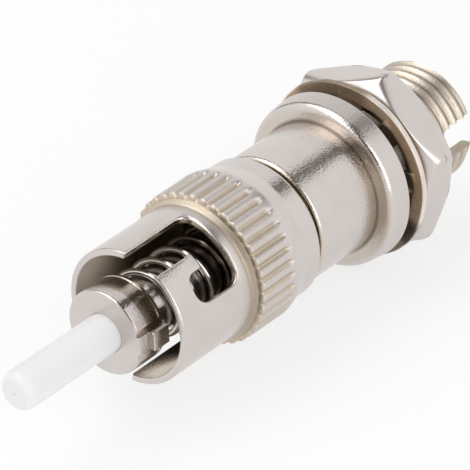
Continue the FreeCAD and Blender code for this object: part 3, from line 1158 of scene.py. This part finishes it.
@dataclass
class BayonetNut(Piece):
    """The slotted and knurled nut."""

    BODY: ClassVar[Body] = Body.COUPLING_NUT
    NODE: ClassVar[str] = "bayonet_nut"
    SHARP: ClassVar[float] = 40

    front: float = -19.8
    length: float = 12.3
    sleeve_radius: float = 4.375
    sleeve_round: float = 0.15
    sleeve_end: float = 6.12
    sleeve_fillet: float = 0.28
    inner_radius: float = 3.95
    inner_round: float = 0.1
    step_radius: float = 4.64
    step_start: float = 6.36
    step_round: float = 0.06
    lip_radius: float = 4.84
    lip_run: float = 0.02
    knurl_start: float = 6.45
    knurl_top: float = 6.6
    knurl_round: float = 0.1
    knurl_radius: float = 5.0
    knurl_end: float = 9.75
    ring_start: float = 11.0
    ring_radius: float = 4.66
    ring_blend: float = 1.0
    ring_round: float = 0.2
    floor: float = 10.6
    rear_bore: float = 1.9
    rear_bore_round: float = 0.05
    teeth: int = 37
    columns_per_tooth: int = 16
    grip_rows: int = 30
    grip_lead: float = 0.01
    grip_trail: float = 0.5
    grip_height: float = 0.15
    first_groove: float = 79.0
    groove_depth: float = 0.19
    groove_soft: float = 0.03
    groove_power: float = 1.7
    groove_over_step: float = 0.02
    run_out: float = 9.56
    run_length: float = 0.42
    entry_angle: float = 104.0
    entry_half: float = 1.2
    mouth_at: float = 0.16
    mouth_round: float = 0.3
    mouth_flare: float = 1.2
    mouth_overrun: float = 1.1
    detent_angle: float = 146.75
    detent_half: float = 0.965
    detent_centre: float = 2.77
    detent_fullness: float = 0.98
    channel_front: float = 3.17
    slot_bottom: float = 5.3
    slot_corner: float = 0.75
    slot_turns: tuple[float, ...] = (0, 180)
    slot_underrun: float = 0.2
    slot_stride: float = 0.1
    slot_steps: int = 9
    tongue_corner: float = 0.16
    edge: float = 0.15
    edge_bends: tuple[float, ...] = (25, 48, 68)
    edge_flare: float = 0.62
    flares: tuple[Spot, ...] = ((0.12, 0.2), (2.6, 0.35))
    round_steps: int = 6
    brace_gap: float = 0.05

    def knurl(self, x: float, radius: float, angle: float) -> Spot:
        """Sink the knurl's grooves into the grip.

        Args:
            x: Distance along the axis from the nut's front.
            radius: Radius of the smooth grip there.
            angle: Angle in radians.

        Returns:
            The distance along the axis and the radius with the groove.
        """
        along = self.knurl_start - self.grip_lead < x < self.knurl_end + self.grip_trail
        if not along or radius < self.sleeve_radius + self.grip_height:
            return (self.front + x, radius)
        turns = (math.degrees(angle) - self.first_groove) * self.teeth / 360
        dip = ((1 + math.cos(2 * math.pi * turns)) / 2) ** self.groove_power
        fade = min(1.0, (self.run_out - x) / self.run_length)
        spare = self.groove_depth * (dip - 1 + fade)
        sunk = (spare + math.hypot(spare, self.groove_soft)) / 2
        return (self.front + x, max(self.step_radius + self.groove_over_step, radius - sunk))

    def detent_arc(self) -> float:
        """Give the arc length from the entry's middle to the detent's on the sleeve."""
        return math.radians(self.detent_angle - self.entry_angle) * self.sleeve_radius

    def slot_outline(self, grow: float) -> list[Spot]:
        """Draw the J-slot on the unrolled sleeve.

        Args:
            grow: How far the outline is moved outward.

        Returns:
            Points as arc length from the entry's middle and distance from the nut's front.
        """
        middle = self.detent_arc()
        entry, detent = self.entry_half + grow, self.detent_half + grow
        top = self.detent_centre - detent
        tip = self.channel_front - grow
        bottom = self.slot_bottom + grow
        corner = self.slot_corner + grow
        return soften([
            (-entry - self.mouth_flare, -self.mouth_overrun, 0),
            (-entry, self.mouth_at, self.mouth_round),
            (-entry, bottom, corner),
            (middle + detent, bottom, corner),
            (middle + detent, top, detent * self.detent_fullness),
            (middle - detent, top, detent * self.detent_fullness),
            (middle - detent, tip, self.tongue_corner),
            (entry, tip, self.tongue_corner),
            (entry, self.mouth_at, self.mouth_round),
            (entry + self.mouth_flare, -self.mouth_overrun, 0),
        ], self.slot_steps)

    def swing(self, arc: float, radius: float) -> float:
        """Wrap a point of the J-slot so that the walls of its entry and its detent stay parallel.

        Args:
            arc: Arc length from the entry's middle on the sleeve's surface.
            radius: Radius at which the point lies.

        Returns:
            The angle from the entry's middle in radians.
        """
        middle = self.detent_arc()
        start, end = self.entry_half, middle - self.detent_half
        centre = middle * ease((arc - start) / (end - start))
        return centre / self.sleeve_radius + (arc - centre) / min(radius, self.sleeve_radius)

    def slot_heights(self) -> list[Spot]:
        """Round the slot's outer edge.

        Returns:
            Radii, each with how far the outline is moved outward there.
        """
        rounding = self.sleeve_radius - self.edge
        heights = [(self.inner_radius - self.slot_underrun, 0.0), (rounding, 0.0)]
        for degrees in self.edge_bends:
            bend = math.radians(degrees)
            heights.append((rounding + self.edge * math.sin(bend), self.edge * (1 - math.cos(bend))))
        for above, flare in self.flares:
            heights.append((self.sleeve_radius + above, self.edge * self.edge_flare + flare))
        return heights

    def slot(self, turn_by: float) -> bpy.types.Object:
        """Make the solid that cuts one J-slot, flared at the outer edge.

        Args:
            turn_by: Angle in degrees from the first slot.

        Returns:
            The cutting solid.
        """
        levels = []
        counts = count_steps(self.slot_outline(0), self.slot_stride)
        for radius, grow in self.slot_heights():
            ring = []
            for arc, x in divide(self.slot_outline(grow), counts):
                angle = math.radians(self.entry_angle + turn_by) + self.swing(arc, radius)
                ring.append(around(self.front + x, radius, angle))
            levels.append(ring)
        return stack("slot", levels)

    def build(self) -> bpy.types.Object:
        """Turn the nut, knurl its grip and mill its slots.

        Returns:
            The piece.
        """
        corners = [
            (0, self.inner_radius, self.inner_round),
            (0, self.sleeve_radius, self.sleeve_round),
            (self.sleeve_end, self.sleeve_radius, self.sleeve_fillet),
            (self.step_start, self.step_radius, self.step_round),
            (self.knurl_start, self.step_radius, 0),
            (self.knurl_start + self.lip_run, self.lip_radius, 0),
            (self.knurl_top, self.knurl_radius, self.knurl_round),
            (self.knurl_end, self.knurl_radius, self.ring_blend),
            (self.ring_start, self.ring_radius, self.ring_blend),
            (self.length, self.ring_radius, self.ring_round),
            (self.length, self.rear_bore, self.rear_bore_round),
            (self.floor, self.rear_bore, 0),
            (self.floor, self.inner_radius, self.inner_round),
        ]
        loop = brace(soften(corners, self.round_steps), self.brace_gap)
        loop = split_run(loop, self.knurl_radius, lambda length: self.grip_rows)
        piece = turn("bayonet_coupling_nut", loop, self.teeth * self.columns_per_tooth, self.knurl)
        for turn_by in self.slot_turns:
            work(piece, self.slot(turn_by), Join.CUT)
        return piece


@dataclass
class Barrel(Piece):
    """The smooth cylinder behind the nut."""

    NODE: ClassVar[str] = "body_barrel"

    front: float = -7.5
    length: float = 5.85
    radius: float = 4.37
    front_round: float = 0.27
    boss_length: float = 0.5
    boss_radius: float = 3.2
    boss_round: float = 0.05
    stem: float = 1.85
    stem_round: float = 0.03
    stem_seat: float = 2.9
    spigot: float = 3.5
    round_steps: int = 5
    sides: int = 224

    def build(self) -> bpy.types.Object:
        """Turn the barrel with a soft front edge.

        Returns:
            The piece.
        """
        corners = [
            (0, self.stem, self.stem_round),
            (0, self.boss_radius, self.boss_round),
            (self.boss_length, self.boss_radius, self.boss_round),
            (self.boss_length, self.radius, self.front_round),
            (self.length, self.radius, 0),
            (self.length, self.spigot, 0),
            (self.stem_seat, self.spigot, 0),
            (self.stem_seat, self.stem, 0),
        ]
        return turn("smooth_barrel", section(self.front, corners, self.round_steps), self.sides)


@dataclass
class Housing(Piece):
    """The flange and the threaded socket."""

    NODE: ClassVar[str] = "fc_housing"
    SHARP: ClassVar[float] = 40

    front: float = -4.6
    length: float = 13.55
    spigot_length: float = 2.95
    spigot_radius: float = 3.5
    spigot_round: float = 0.05
    flange_end: float = 4.6
    flange_radius: float = 5.63
    flange_round: float = 0.1
    lip_radius: float = 5.45
    lip_round: float = 0.45
    thread_radius: float = 3.95
    thread_depth: float = 0.22
    thread_pitch: float = 0.75
    thread_rows: int = 14
    thread_wall: float = 0.3
    thread_lead: float = 0.02
    fade_start: float = 0.2
    fade_length: float = 0.5
    rim_chamfer: float = 0.35
    rim_round: float = 0.05
    socket_radius: float = 3.0
    socket_round: float = 0.2
    socket_floor: float = 6.1
    socket_floor_round: float = 0.05
    holder_radius: float = 2.2
    keyway_angle: float = 171
    keyway_half: float = 1.04
    keyway_bottom: float = 10.8
    keyway_corner: float = 0.45
    keyway_overrun: float = 0.8
    keyway_heights: tuple[Spot, ...] = ((2.5, 0.0), (3.84, 0.0), (3.93, 0.03), (4.6, 0.3))
    keyway_steps: int = 7
    round_steps: int = 5
    sides: int = 200

    def thread(self, x: float, radius: float, angle: float) -> Spot:
        """Cut the right-hand thread into the barrel.

        Args:
            x: Distance along the axis from the housing's front.
            radius: Radius of the plain barrel there.
            angle: Angle in radians.

        Returns:
            The distance along the axis and the radius on the thread.
        """
        if x < self.flange_end + self.thread_lead or radius < self.socket_radius + self.thread_wall:
            return (self.front + x, radius)
        turns = x / self.thread_pitch - angle / (2 * math.pi)
        away = abs(turns - math.floor(turns) - 0.5) * 2
        fade = ease((x - self.flange_end - self.fade_start) / self.fade_length)
        crest = self.thread_radius - self.thread_depth * ease(away) * fade
        return (self.front + x, min(radius, crest))

    def keyway(self) -> bpy.types.Object:
        """Make the solid that mills the keyway, flared at the outer edge.

        Returns:
            The cutting solid.
        """
        outward, across = directions(math.radians(self.keyway_angle))
        end = self.length + self.keyway_overrun
        levels = []
        for radius, grow in self.keyway_heights:
            half = self.keyway_half + grow
            corners = [
                (self.keyway_bottom - grow, -half, self.keyway_corner),
                (end, -half, 0),
                (end, half, 0),
                (self.keyway_bottom - grow, half, self.keyway_corner),
            ]
            ring = []
            for x, offset in soften(corners, self.keyway_steps):
                spot = outward * radius + across * offset
                ring.append((self.front + x, spot.y, spot.z))
            levels.append(ring)
        return stack("keyway", levels)

    def build(self) -> bpy.types.Object:
        """Turn the housing, cut its thread and mill its keyway.

        Returns:
            The piece.
        """
        corners = [
            (0, self.holder_radius, 0),
            (0, self.spigot_radius, self.spigot_round),
            (self.spigot_length, self.spigot_radius, 0),
            (self.spigot_length, self.lip_radius, self.lip_round),
            (self.flange_end, self.flange_radius, self.flange_round),
            (self.flange_end, self.thread_radius, 0),
            (self.length - self.rim_chamfer, self.thread_radius, 0),
            (self.length, self.thread_radius - self.rim_chamfer, self.rim_round),
            (self.length, self.socket_radius, self.socket_round),
            (self.socket_floor, self.socket_radius, self.socket_floor_round),
            (self.socket_floor, self.holder_radius, 0),
        ]
        loop = split_run(
            brace(soften(corners, self.round_steps)),
            self.thread_radius,
            lambda length: round(length / self.thread_pitch * self.thread_rows),
        )
        piece = turn("flanged_housing", loop, self.sides, self.thread)
        work(piece, self.keyway(), Join.CUT)
        return piece


@dataclass
class LockWasher(Piece):
    """The toothed washer, a little bent and stained."""

    BODY: ClassVar[Body] = Body.WASHER_CARRIAGE
    NODE: ClassVar[str] = "lock_washer"
    SLOT: ClassVar[Slot] = Slot.WASHER_PLATE

    front: float = 0.98
    thickness: float = 0.4
    radius: float = 5.9
    radius_round: float = 0.1
    rim_radius: float = 5.0
    rim_round: float = 0.05
    bend: float = 0.035
    bends: int = 3
    bend_phase: float = 0.7
    ripple: float = 0.02
    ripples: int = 7
    nick: float = 0.012
    nicks: int = 23
    nick_phase: float = 1.1
    nick_groups: int = 9
    nick_reach: float = 0.2
    tooth_inner: float = 4.25
    tooth_root: float = 0.3
    tooth_half_width: float = 0.8
    tooth_half_thickness: float = 0.15
    tooth_round: float = 0.05
    tooth_steps: int = 2
    tooth_twist: float = 14
    teeth: int = 9
    round_steps: int = 4
    sides: int = 240

    def wave(self, x: float, radius: float, angle: float) -> Spot:
        """Bend the rim slightly and nick its edge.

        Args:
            x: Distance along the axis.
            radius: Radius of the flat rim.
            angle: Angle in radians.

        Returns:
            The bent place.
        """
        bend = self.bend * math.sin(self.bends * angle + self.bend_phase)
        bend += self.ripple * math.sin(self.ripples * angle)
        notch = math.sin(self.nicks * angle + self.nick_phase) * math.sin(self.nick_groups * angle)
        edge = ease((radius - self.radius + self.nick_reach) / self.nick_reach)
        return (self.front + x + bend, radius + self.nick * (notch - 1) * edge)

    def tooth(self, number: int) -> bpy.types.Object:
        """Make one twisted tooth.

        Args:
            number: Which tooth.

        Returns:
            The tooth, as a closed block.
        """
        outward, across = directions(math.pi / 2 + 2 * math.pi * number / self.teeth)
        twist = math.radians(self.tooth_twist)
        along = Vector((math.cos(twist), 0, 0)) - across * math.sin(twist)
        side = -across * math.cos(twist) - Vector((math.sin(twist), 0, 0))
        middle = Vector((self.front + self.thickness / 2, 0, 0))
        thick, wide, soft = self.tooth_half_thickness, self.tooth_half_width, self.tooth_round
        corners = [(-thick, -wide, soft), (thick, -wide, soft), (thick, wide, soft), (-thick, wide, soft)]
        levels = []
        for radius in (self.tooth_inner, self.rim_radius + self.tooth_root):
            foot = middle + outward * radius
            outline = soften(corners, self.tooth_steps)
            levels.append([tuple(foot + along * deep + side * aside) for deep, aside in outline])
        return stack("tooth", levels)

    def build(self) -> bpy.types.Object:
        """Stamp the rim and weld on its teeth.

        Returns:
            The piece.
        """
        corners = [
            (0, self.rim_radius, self.rim_round),
            (0, self.radius, self.radius_round),
            (self.thickness, self.radius, self.radius_round),
            (self.thickness, self.rim_radius, self.rim_round),
        ]
        loop = brace(soften(corners, self.round_steps))
        piece = turn("toothed_washer", loop, self.sides, self.wave)
        for number in range(self.teeth):
            work(piece, self.tooth(number), Join.WELD)
        return piece


@dataclass
class HexNut(Piece):
    """The panel nut, coned at both faces."""

    BODY: ClassVar[Body] = Body.PANEL_NUT
    NODE: ClassVar[str] = "hex_nut"

    front: float = 1.85
    length: float = 2.45
    sides: int = 6
    half_side: float = 30
    flat: float = 5.5
    corner_angle: float = 41
    corner_round: float = 0.3
    corner_steps: tuple[float, ...] = (
        0.0, 0.3, 0.6, 0.9, 1.2, 1.4, 1.7, 2.4, 3.6, 6, 9, 12, 15, 18, 21, 24, 27
    )
    bore: float = 4.0
    bore_chamfer: float = 0.25
    bore_bevel: float = 0.02
    bore_land: float = 0.03
    face_radius: float = 5.37
    face_slope: float = 0.92 / 1.23
    face_rise: float = 0.05
    face_dip: float = 0.008
    rear_radius: float = 5.45
    rear_slope: float = 0.66 / 1.15
    rear_rise: float = 0.03
    rear_dip: float = 0.006
    dip_inset: float = 0.004
    land_inset: float = 0.06
    edge_round: float = 0.62
    edge_share: float = 0.45
    edge_steps: int = 6

    def reach(self, aside: float) -> float:
        """Give the radius of the hexagon with its rounded corners.

        Args:
            aside: Angle from the middle of a flat, in degrees.

        Returns:
            The radius.
        """
        centre = (self.flat - self.corner_round) / math.cos(math.radians(self.half_side))
        slant = math.radians(self.half_side - abs(aside))
        if self.flat * math.tan(math.radians(abs(aside))) < centre / 2:
            return self.flat / math.cos(math.radians(aside))
        rounding = math.sqrt(self.corner_round ** 2 - (centre * math.sin(slant)) ** 2)
        return centre * math.cos(slant) + rounding

    def face(self, radius: float, slope: float, rise: float, dip: float) -> list[Spot]:
        """Draw one face from the bore to the start of its cone.

        Args:
            radius: Radius of the flat face.
            slope: Distance along the axis that the cone takes for its height.
            rise: How far the cone is drawn.
            dip: How far the face's edge is rounded off.

        Returns:
            Points as depth below the face and radius.
        """
        lip = self.bore + self.bore_chamfer
        return [
            (self.bore_chamfer, self.bore),
            (self.bore_bevel, lip - self.bore_bevel),
            (0.0, lip + self.bore_land),
            (0.0, radius - self.land_inset),
            (dip, radius - self.dip_inset),
            (rise, radius + rise / slope),
        ]

    def edge(self, x: float, radius: float, slope: float, room: float) -> list[Spot]:
        """Round the edge between a cone and a flat.

        Args:
            x: Where cone and flat would meet.
            radius: The flat's radius there.
            slope: Distance along the axis that the cone takes for its height; negative at the rear.
            room: Height of the cone.

        Returns:
            Points from the cone to the flat.
        """
        high = min(self.edge_round, room * self.edge_share)
        first = Vector((x - high * slope, radius - high))
        middle = Vector((x, radius))
        last = Vector((x + math.copysign(self.edge_round, slope), radius))
        spots = []
        for step in range(self.edge_steps + 1):
            share = step / self.edge_steps
            spots.append(tuple(first.lerp(middle, share).lerp(middle.lerp(last, share), share)))
        return spots

    def column(self, reach: float) -> list[Spot]:
        """Draw the nut's section at one angle.

        Args:
            reach: Radius of the hexagon there.

        Returns:
            Points as distance from the nut's front and radius.
        """
        high, rear_high = reach - self.face_radius, reach - self.rear_radius
        start, end = high * self.face_slope, self.length - rear_high * self.rear_slope
        rear = self.face(self.rear_radius, self.rear_slope, self.rear_rise, self.rear_dip)
        return [
            (self.length / 2, self.bore),
            *self.face(self.face_radius, self.face_slope, self.face_rise, self.face_dip),
            *self.edge(start, reach, self.face_slope, high),
            (self.length / 2, reach),
            *reversed(self.edge(end, reach, -self.rear_slope, rear_high)),
            *((self.length - depth, radius) for depth, radius in reversed(rear)),
        ]

    def build(self) -> bpy.types.Object:
        """Make the hexagon, column by column, with softened edges.

        Returns:
            The piece.
        """
        before = {step - self.half_side for step in self.corner_steps}
        after = {self.half_side - step for step in self.corner_steps}
        offsets = sorted(before | after | {0.0})
        rows: list[list[Point]] = []
        for side in range(self.sides):
            for aside in offsets[:-1]:
                middle = (2 * side + 1) * self.half_side
                angle = math.radians(self.corner_angle + middle + aside)
                column = self.column(self.reach(aside))
                rows.append([around(self.front + x, radius, angle) for x, radius in column])
        return skin("hexagon_nut", rows)


@dataclass
class InnerPieces:
    """The solids kept as they are: washer, sleeve holder, split sleeve, stub and fibre."""

    plated: tuple[str, ...] = ("thrust_washer", "sleeve_holder")
    ceramic: tuple[str, ...] = ("split_sleeve", "fc_stub_ferrule")
    glass: tuple[str, ...] = ("optical_fibre",)

    def dress(
        self, plate: bpy.types.Material, white: bpy.types.Material, clear: bpy.types.Material
    ) -> None:
        """Give each solid its material.

        Args:
            plate: Finish of the plated solids.
            white: Finish of the ceramic solids.
            clear: Finish of the glass.
        """
        for names, material in ((self.plated, plate), (self.ceramic, white), (self.glass, clear)):
            for name in names:
                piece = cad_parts[name]
                piece.data.materials.clear()
                piece.data.materials.append(material)
                LOG.info("%s keeps its solid", name)


@dataclass(frozen=True)
class Lamp:
    """A soft square lamp, in millimetres and watts."""

    name: str
    spot: Point
    size: float
    power: float

    def hang(self, aim: Point) -> None:
        """Hang the lamp.

        Args:
            aim: The point it faces, in millimetres.
        """
        data = bpy.data.lights.new(self.name, "AREA")
        data.size = self.size * MM
        data.energy = self.power
        lamp = bpy.data.objects.new(self.name, data)
        lamp.location = Vector(self.spot) * MM
        facing = (Vector(aim) - Vector(self.spot)).to_track_quat("-Z", "Y")
        lamp.rotation_euler = facing.to_euler()
        bpy.context.scene.collection.objects.link(lamp)


def bent(across: Spot, radius: float, sweep: Spot, steps: int = 12) -> Edges:
    """Lay out a card that is bent about the axis.

    Args:
        across: Start and end of the card along the axis.
        radius: Distance from the axis.
        sweep: First and last angle in degrees.
        steps: Flat parts of the bend.

    Returns:
        Points on its two long edges.
    """
    pairs = []
    for step in range(steps + 1):
        bend = math.radians(sweep[0] + (sweep[1] - sweep[0]) * step / steps)
        pairs.append((around(across[0], radius, bend), around(across[1], radius, bend)))
    return tuple(pairs)


@dataclass(frozen=True)
class Card:
    """A card that only shiny surfaces show, for the darker streaks along the metal.

    Its edges are pairs of points in millimetres on its two long edges, from end to end.
    """

    name: str
    colour: Colour
    edges: Edges

    def hang(self) -> None:
        """Hang the card."""
        points = [spot for pair in self.edges for spot in pair]
        starts = range(0, len(points) - 2, 2)
        piece = solid(self.name, points, [(low, low + 1, low + 3, low + 2) for low in starts])
        piece.visible_camera = False
        piece.visible_diffuse = False
        piece.visible_shadow = False
        material = bpy.data.materials.new(self.name)
        material.use_nodes = True
        shader = material.node_tree.nodes["Principled BSDF"]
        shader.inputs["Base Color"].default_value = (*self.colour, 1)
        shader.inputs["Roughness"].default_value = 1.0
        shader.inputs["Specular IOR Level"].default_value = 0.0
        piece.data.materials.append(material)


@dataclass
class Studio:
    """Floor, light and camera, in millimetres and pixels of the photograph."""

    azimuth: float = -50.948
    elevation: float = 33.21
    pixels: float = 470
    pixels_per_mm: float = 17.771
    distance: float = 220.5
    tip: Point = (-29.6, 0.0, 0.0)
    tip_pixel: Spot = (14.289, 394.08)
    sensor: float = 36
    clip: Spot = (5, 10000)
    floor_level: float = -6.24
    floor_half: float = 1500
    floor_colour: Colour = (0.97, 0.97, 0.97)
    floor_lift: float = 0.75
    room_light: float = 0.62
    aim: Point = (-10.0, 0.0, 0.0)
    lamps: tuple[Lamp, ...] = (
        Lamp("key_lamp", (-192, 60, 160), 120, 0.075),
        Lamp("edge_lamp", (-44, 86, 165), 140, 0.1),
        Lamp("fill_lamp", (-75, -150, 115), 100, 0.05),
        Lamp("side_lamp", (-85, -218, 55), 120, 0.07),
    )
    cards: tuple[Card, ...] = (
        Card("top_card", (0.09, 0.075, 0.065), (
            ((-500, -150, 200), (-500, -30, 200)),
            ((260, -68, 200), (260, 4, 200)),
        )),
        Card("front_card", (0.3, 0.22, 0.16), (
            ((-230, -45, -5), (-230, -45, 50)),
            ((-230, 42, -5), (-230, 42, 50)),
        )),
        Card("arch_card", (0.25, 0.23, 0.21), bent((38, 118), 230, (-5, 85))),
        Card("near_card", (0.1, 0.08, 0.06), bent((-620, -130), 205, (104, 162))),
    )

    def camera(self) -> None:
        """Stand the camera where the photograph was taken from."""
        turn_by, rise = math.radians(self.azimuth), math.radians(self.elevation)
        level = math.cos(rise)
        back = Vector((math.sin(turn_by) * level, -math.cos(turn_by) * level, math.sin(rise)))
        right = Vector((math.cos(turn_by), math.sin(turn_by), 0))
        up = back.cross(right)
        half = self.pixels / 2
        across = (self.tip_pixel[0] - half) / self.pixels_per_mm
        above = (half - self.tip_pixel[1]) / self.pixels_per_mm
        spot = Vector(self.tip) - right * across - up * above + back * self.distance
        data = bpy.data.cameras.new("camera")
        data.sensor_width = self.sensor
        data.lens = self.pixels_per_mm * self.distance / self.pixels * self.sensor
        data.clip_start, data.clip_end = (limit * MM for limit in self.clip)
        camera = bpy.data.objects.new("camera", data)
        bpy.context.scene.collection.objects.link(camera)
        matrix = Matrix((right, up, back)).transposed().to_4x4()
        matrix.translation = spot * MM
        camera.matrix_world = matrix
        bpy.context.scene.camera = camera

    def shown(self, wires: Wiring) -> bpy.types.NodeSocket:
        """Tell apart what the camera, metal and glass see from what only lights the scene.

        Args:
            wires: The wiring of the material or world.

        Returns:
            A value of 1 for rays that show the background.
        """
        path = wires.put("ShaderNodeLightPath")
        seen = wires.maths("ADD", path.outputs["Is Camera Ray"], path.outputs["Is Glossy Ray"])
        return wires.clamp(wires.maths("ADD", seen, path.outputs["Is Transmission Ray"]))

    def floor(self) -> None:
        """Lay a pale floor that shows white to the camera and to metal, and keeps the shadow."""
        size, level = self.floor_half, self.floor_level
        points = [(-size, -size, level), (size, -size, level), (size, size, level), (-size, size, level)]
        piece = solid("floor", points, [(0, 1, 2, 3)])
        material = bpy.data.materials.new("floor_paper")
        material.use_nodes = True
        material.node_tree.nodes.clear()
        wires = Wiring(material.node_tree)
        paper = wires.put("ShaderNodeBsdfDiffuse", {"Color": (*self.floor_colour, 1)})
        white = wires.put("ShaderNodeEmission", {"Color": (1, 1, 1, 1), "Strength": 1.0})
        share = wires.maths("MULTIPLY", self.shown(wires), self.floor_lift)
        mixed = wires.put("ShaderNodeMixShader", {0: share, 1: paper.outputs[0], 2: white.outputs[0]})
        wires.put("ShaderNodeOutputMaterial", {"Surface": mixed.outputs[0]})
        piece.data.materials.append(material)

    def world(self) -> None:
        """Fill the room with even white light."""
        world = bpy.data.worlds.new("studio")
        bpy.context.scene.world = world
        world.use_nodes = True
        world.node_tree.nodes.clear()
        wires = Wiring(world.node_tree)
        levels = {"Value": self.shown(wires), "To Min": self.room_light, "To Max": 1.0}
        strength = wires.put("ShaderNodeMapRange", levels).outputs["Result"]
        background = wires.put("ShaderNodeBackground", {"Color": (1, 1, 1, 1), "Strength": strength})
        wires.put("ShaderNodeOutputWorld", {"Surface": background.outputs[0]})

    def build(self) -> None:
        """Set up the whole studio."""
        bpy.context.scene.view_settings.view_transform = "Standard"
        self.camera()
        self.floor()
        self.world()
        for lamp in self.lamps:
            lamp.hang(self.aim)
        for card in self.cards:
            card.hang()


def main() -> None:
    """Build every piece, dress it and set up the studio."""
    logging.basicConfig(level=logging.INFO)
    groups = Groups()
    ceramic = CERAMIC.make(groups)
    plate = COLLAR_PLATE.make(groups)
    dressed = (
        (Ferrule(), ceramic),
        (FerruleHolder(), plate),
        (Spring(), SPRING_WIRE.make(groups)),
        (BayonetNut(), NUT_PLATE.make(groups)),
        (Barrel(), BARREL_PLATE.make(groups)),
        (Housing(), HOUSING_PLATE.make(groups)),
        (LockWasher(), WASHER_METAL.make(groups)),
        (HexNut(), HEX_PLATE.make(groups)),
    )
    for part, material in dressed:
        part.dress(part.build(), material)
    InnerPieces().dress(plate, ceramic, FIBRE_GLASS.make(groups))
    Studio().build()


if __name__ == "__main__":
    main()
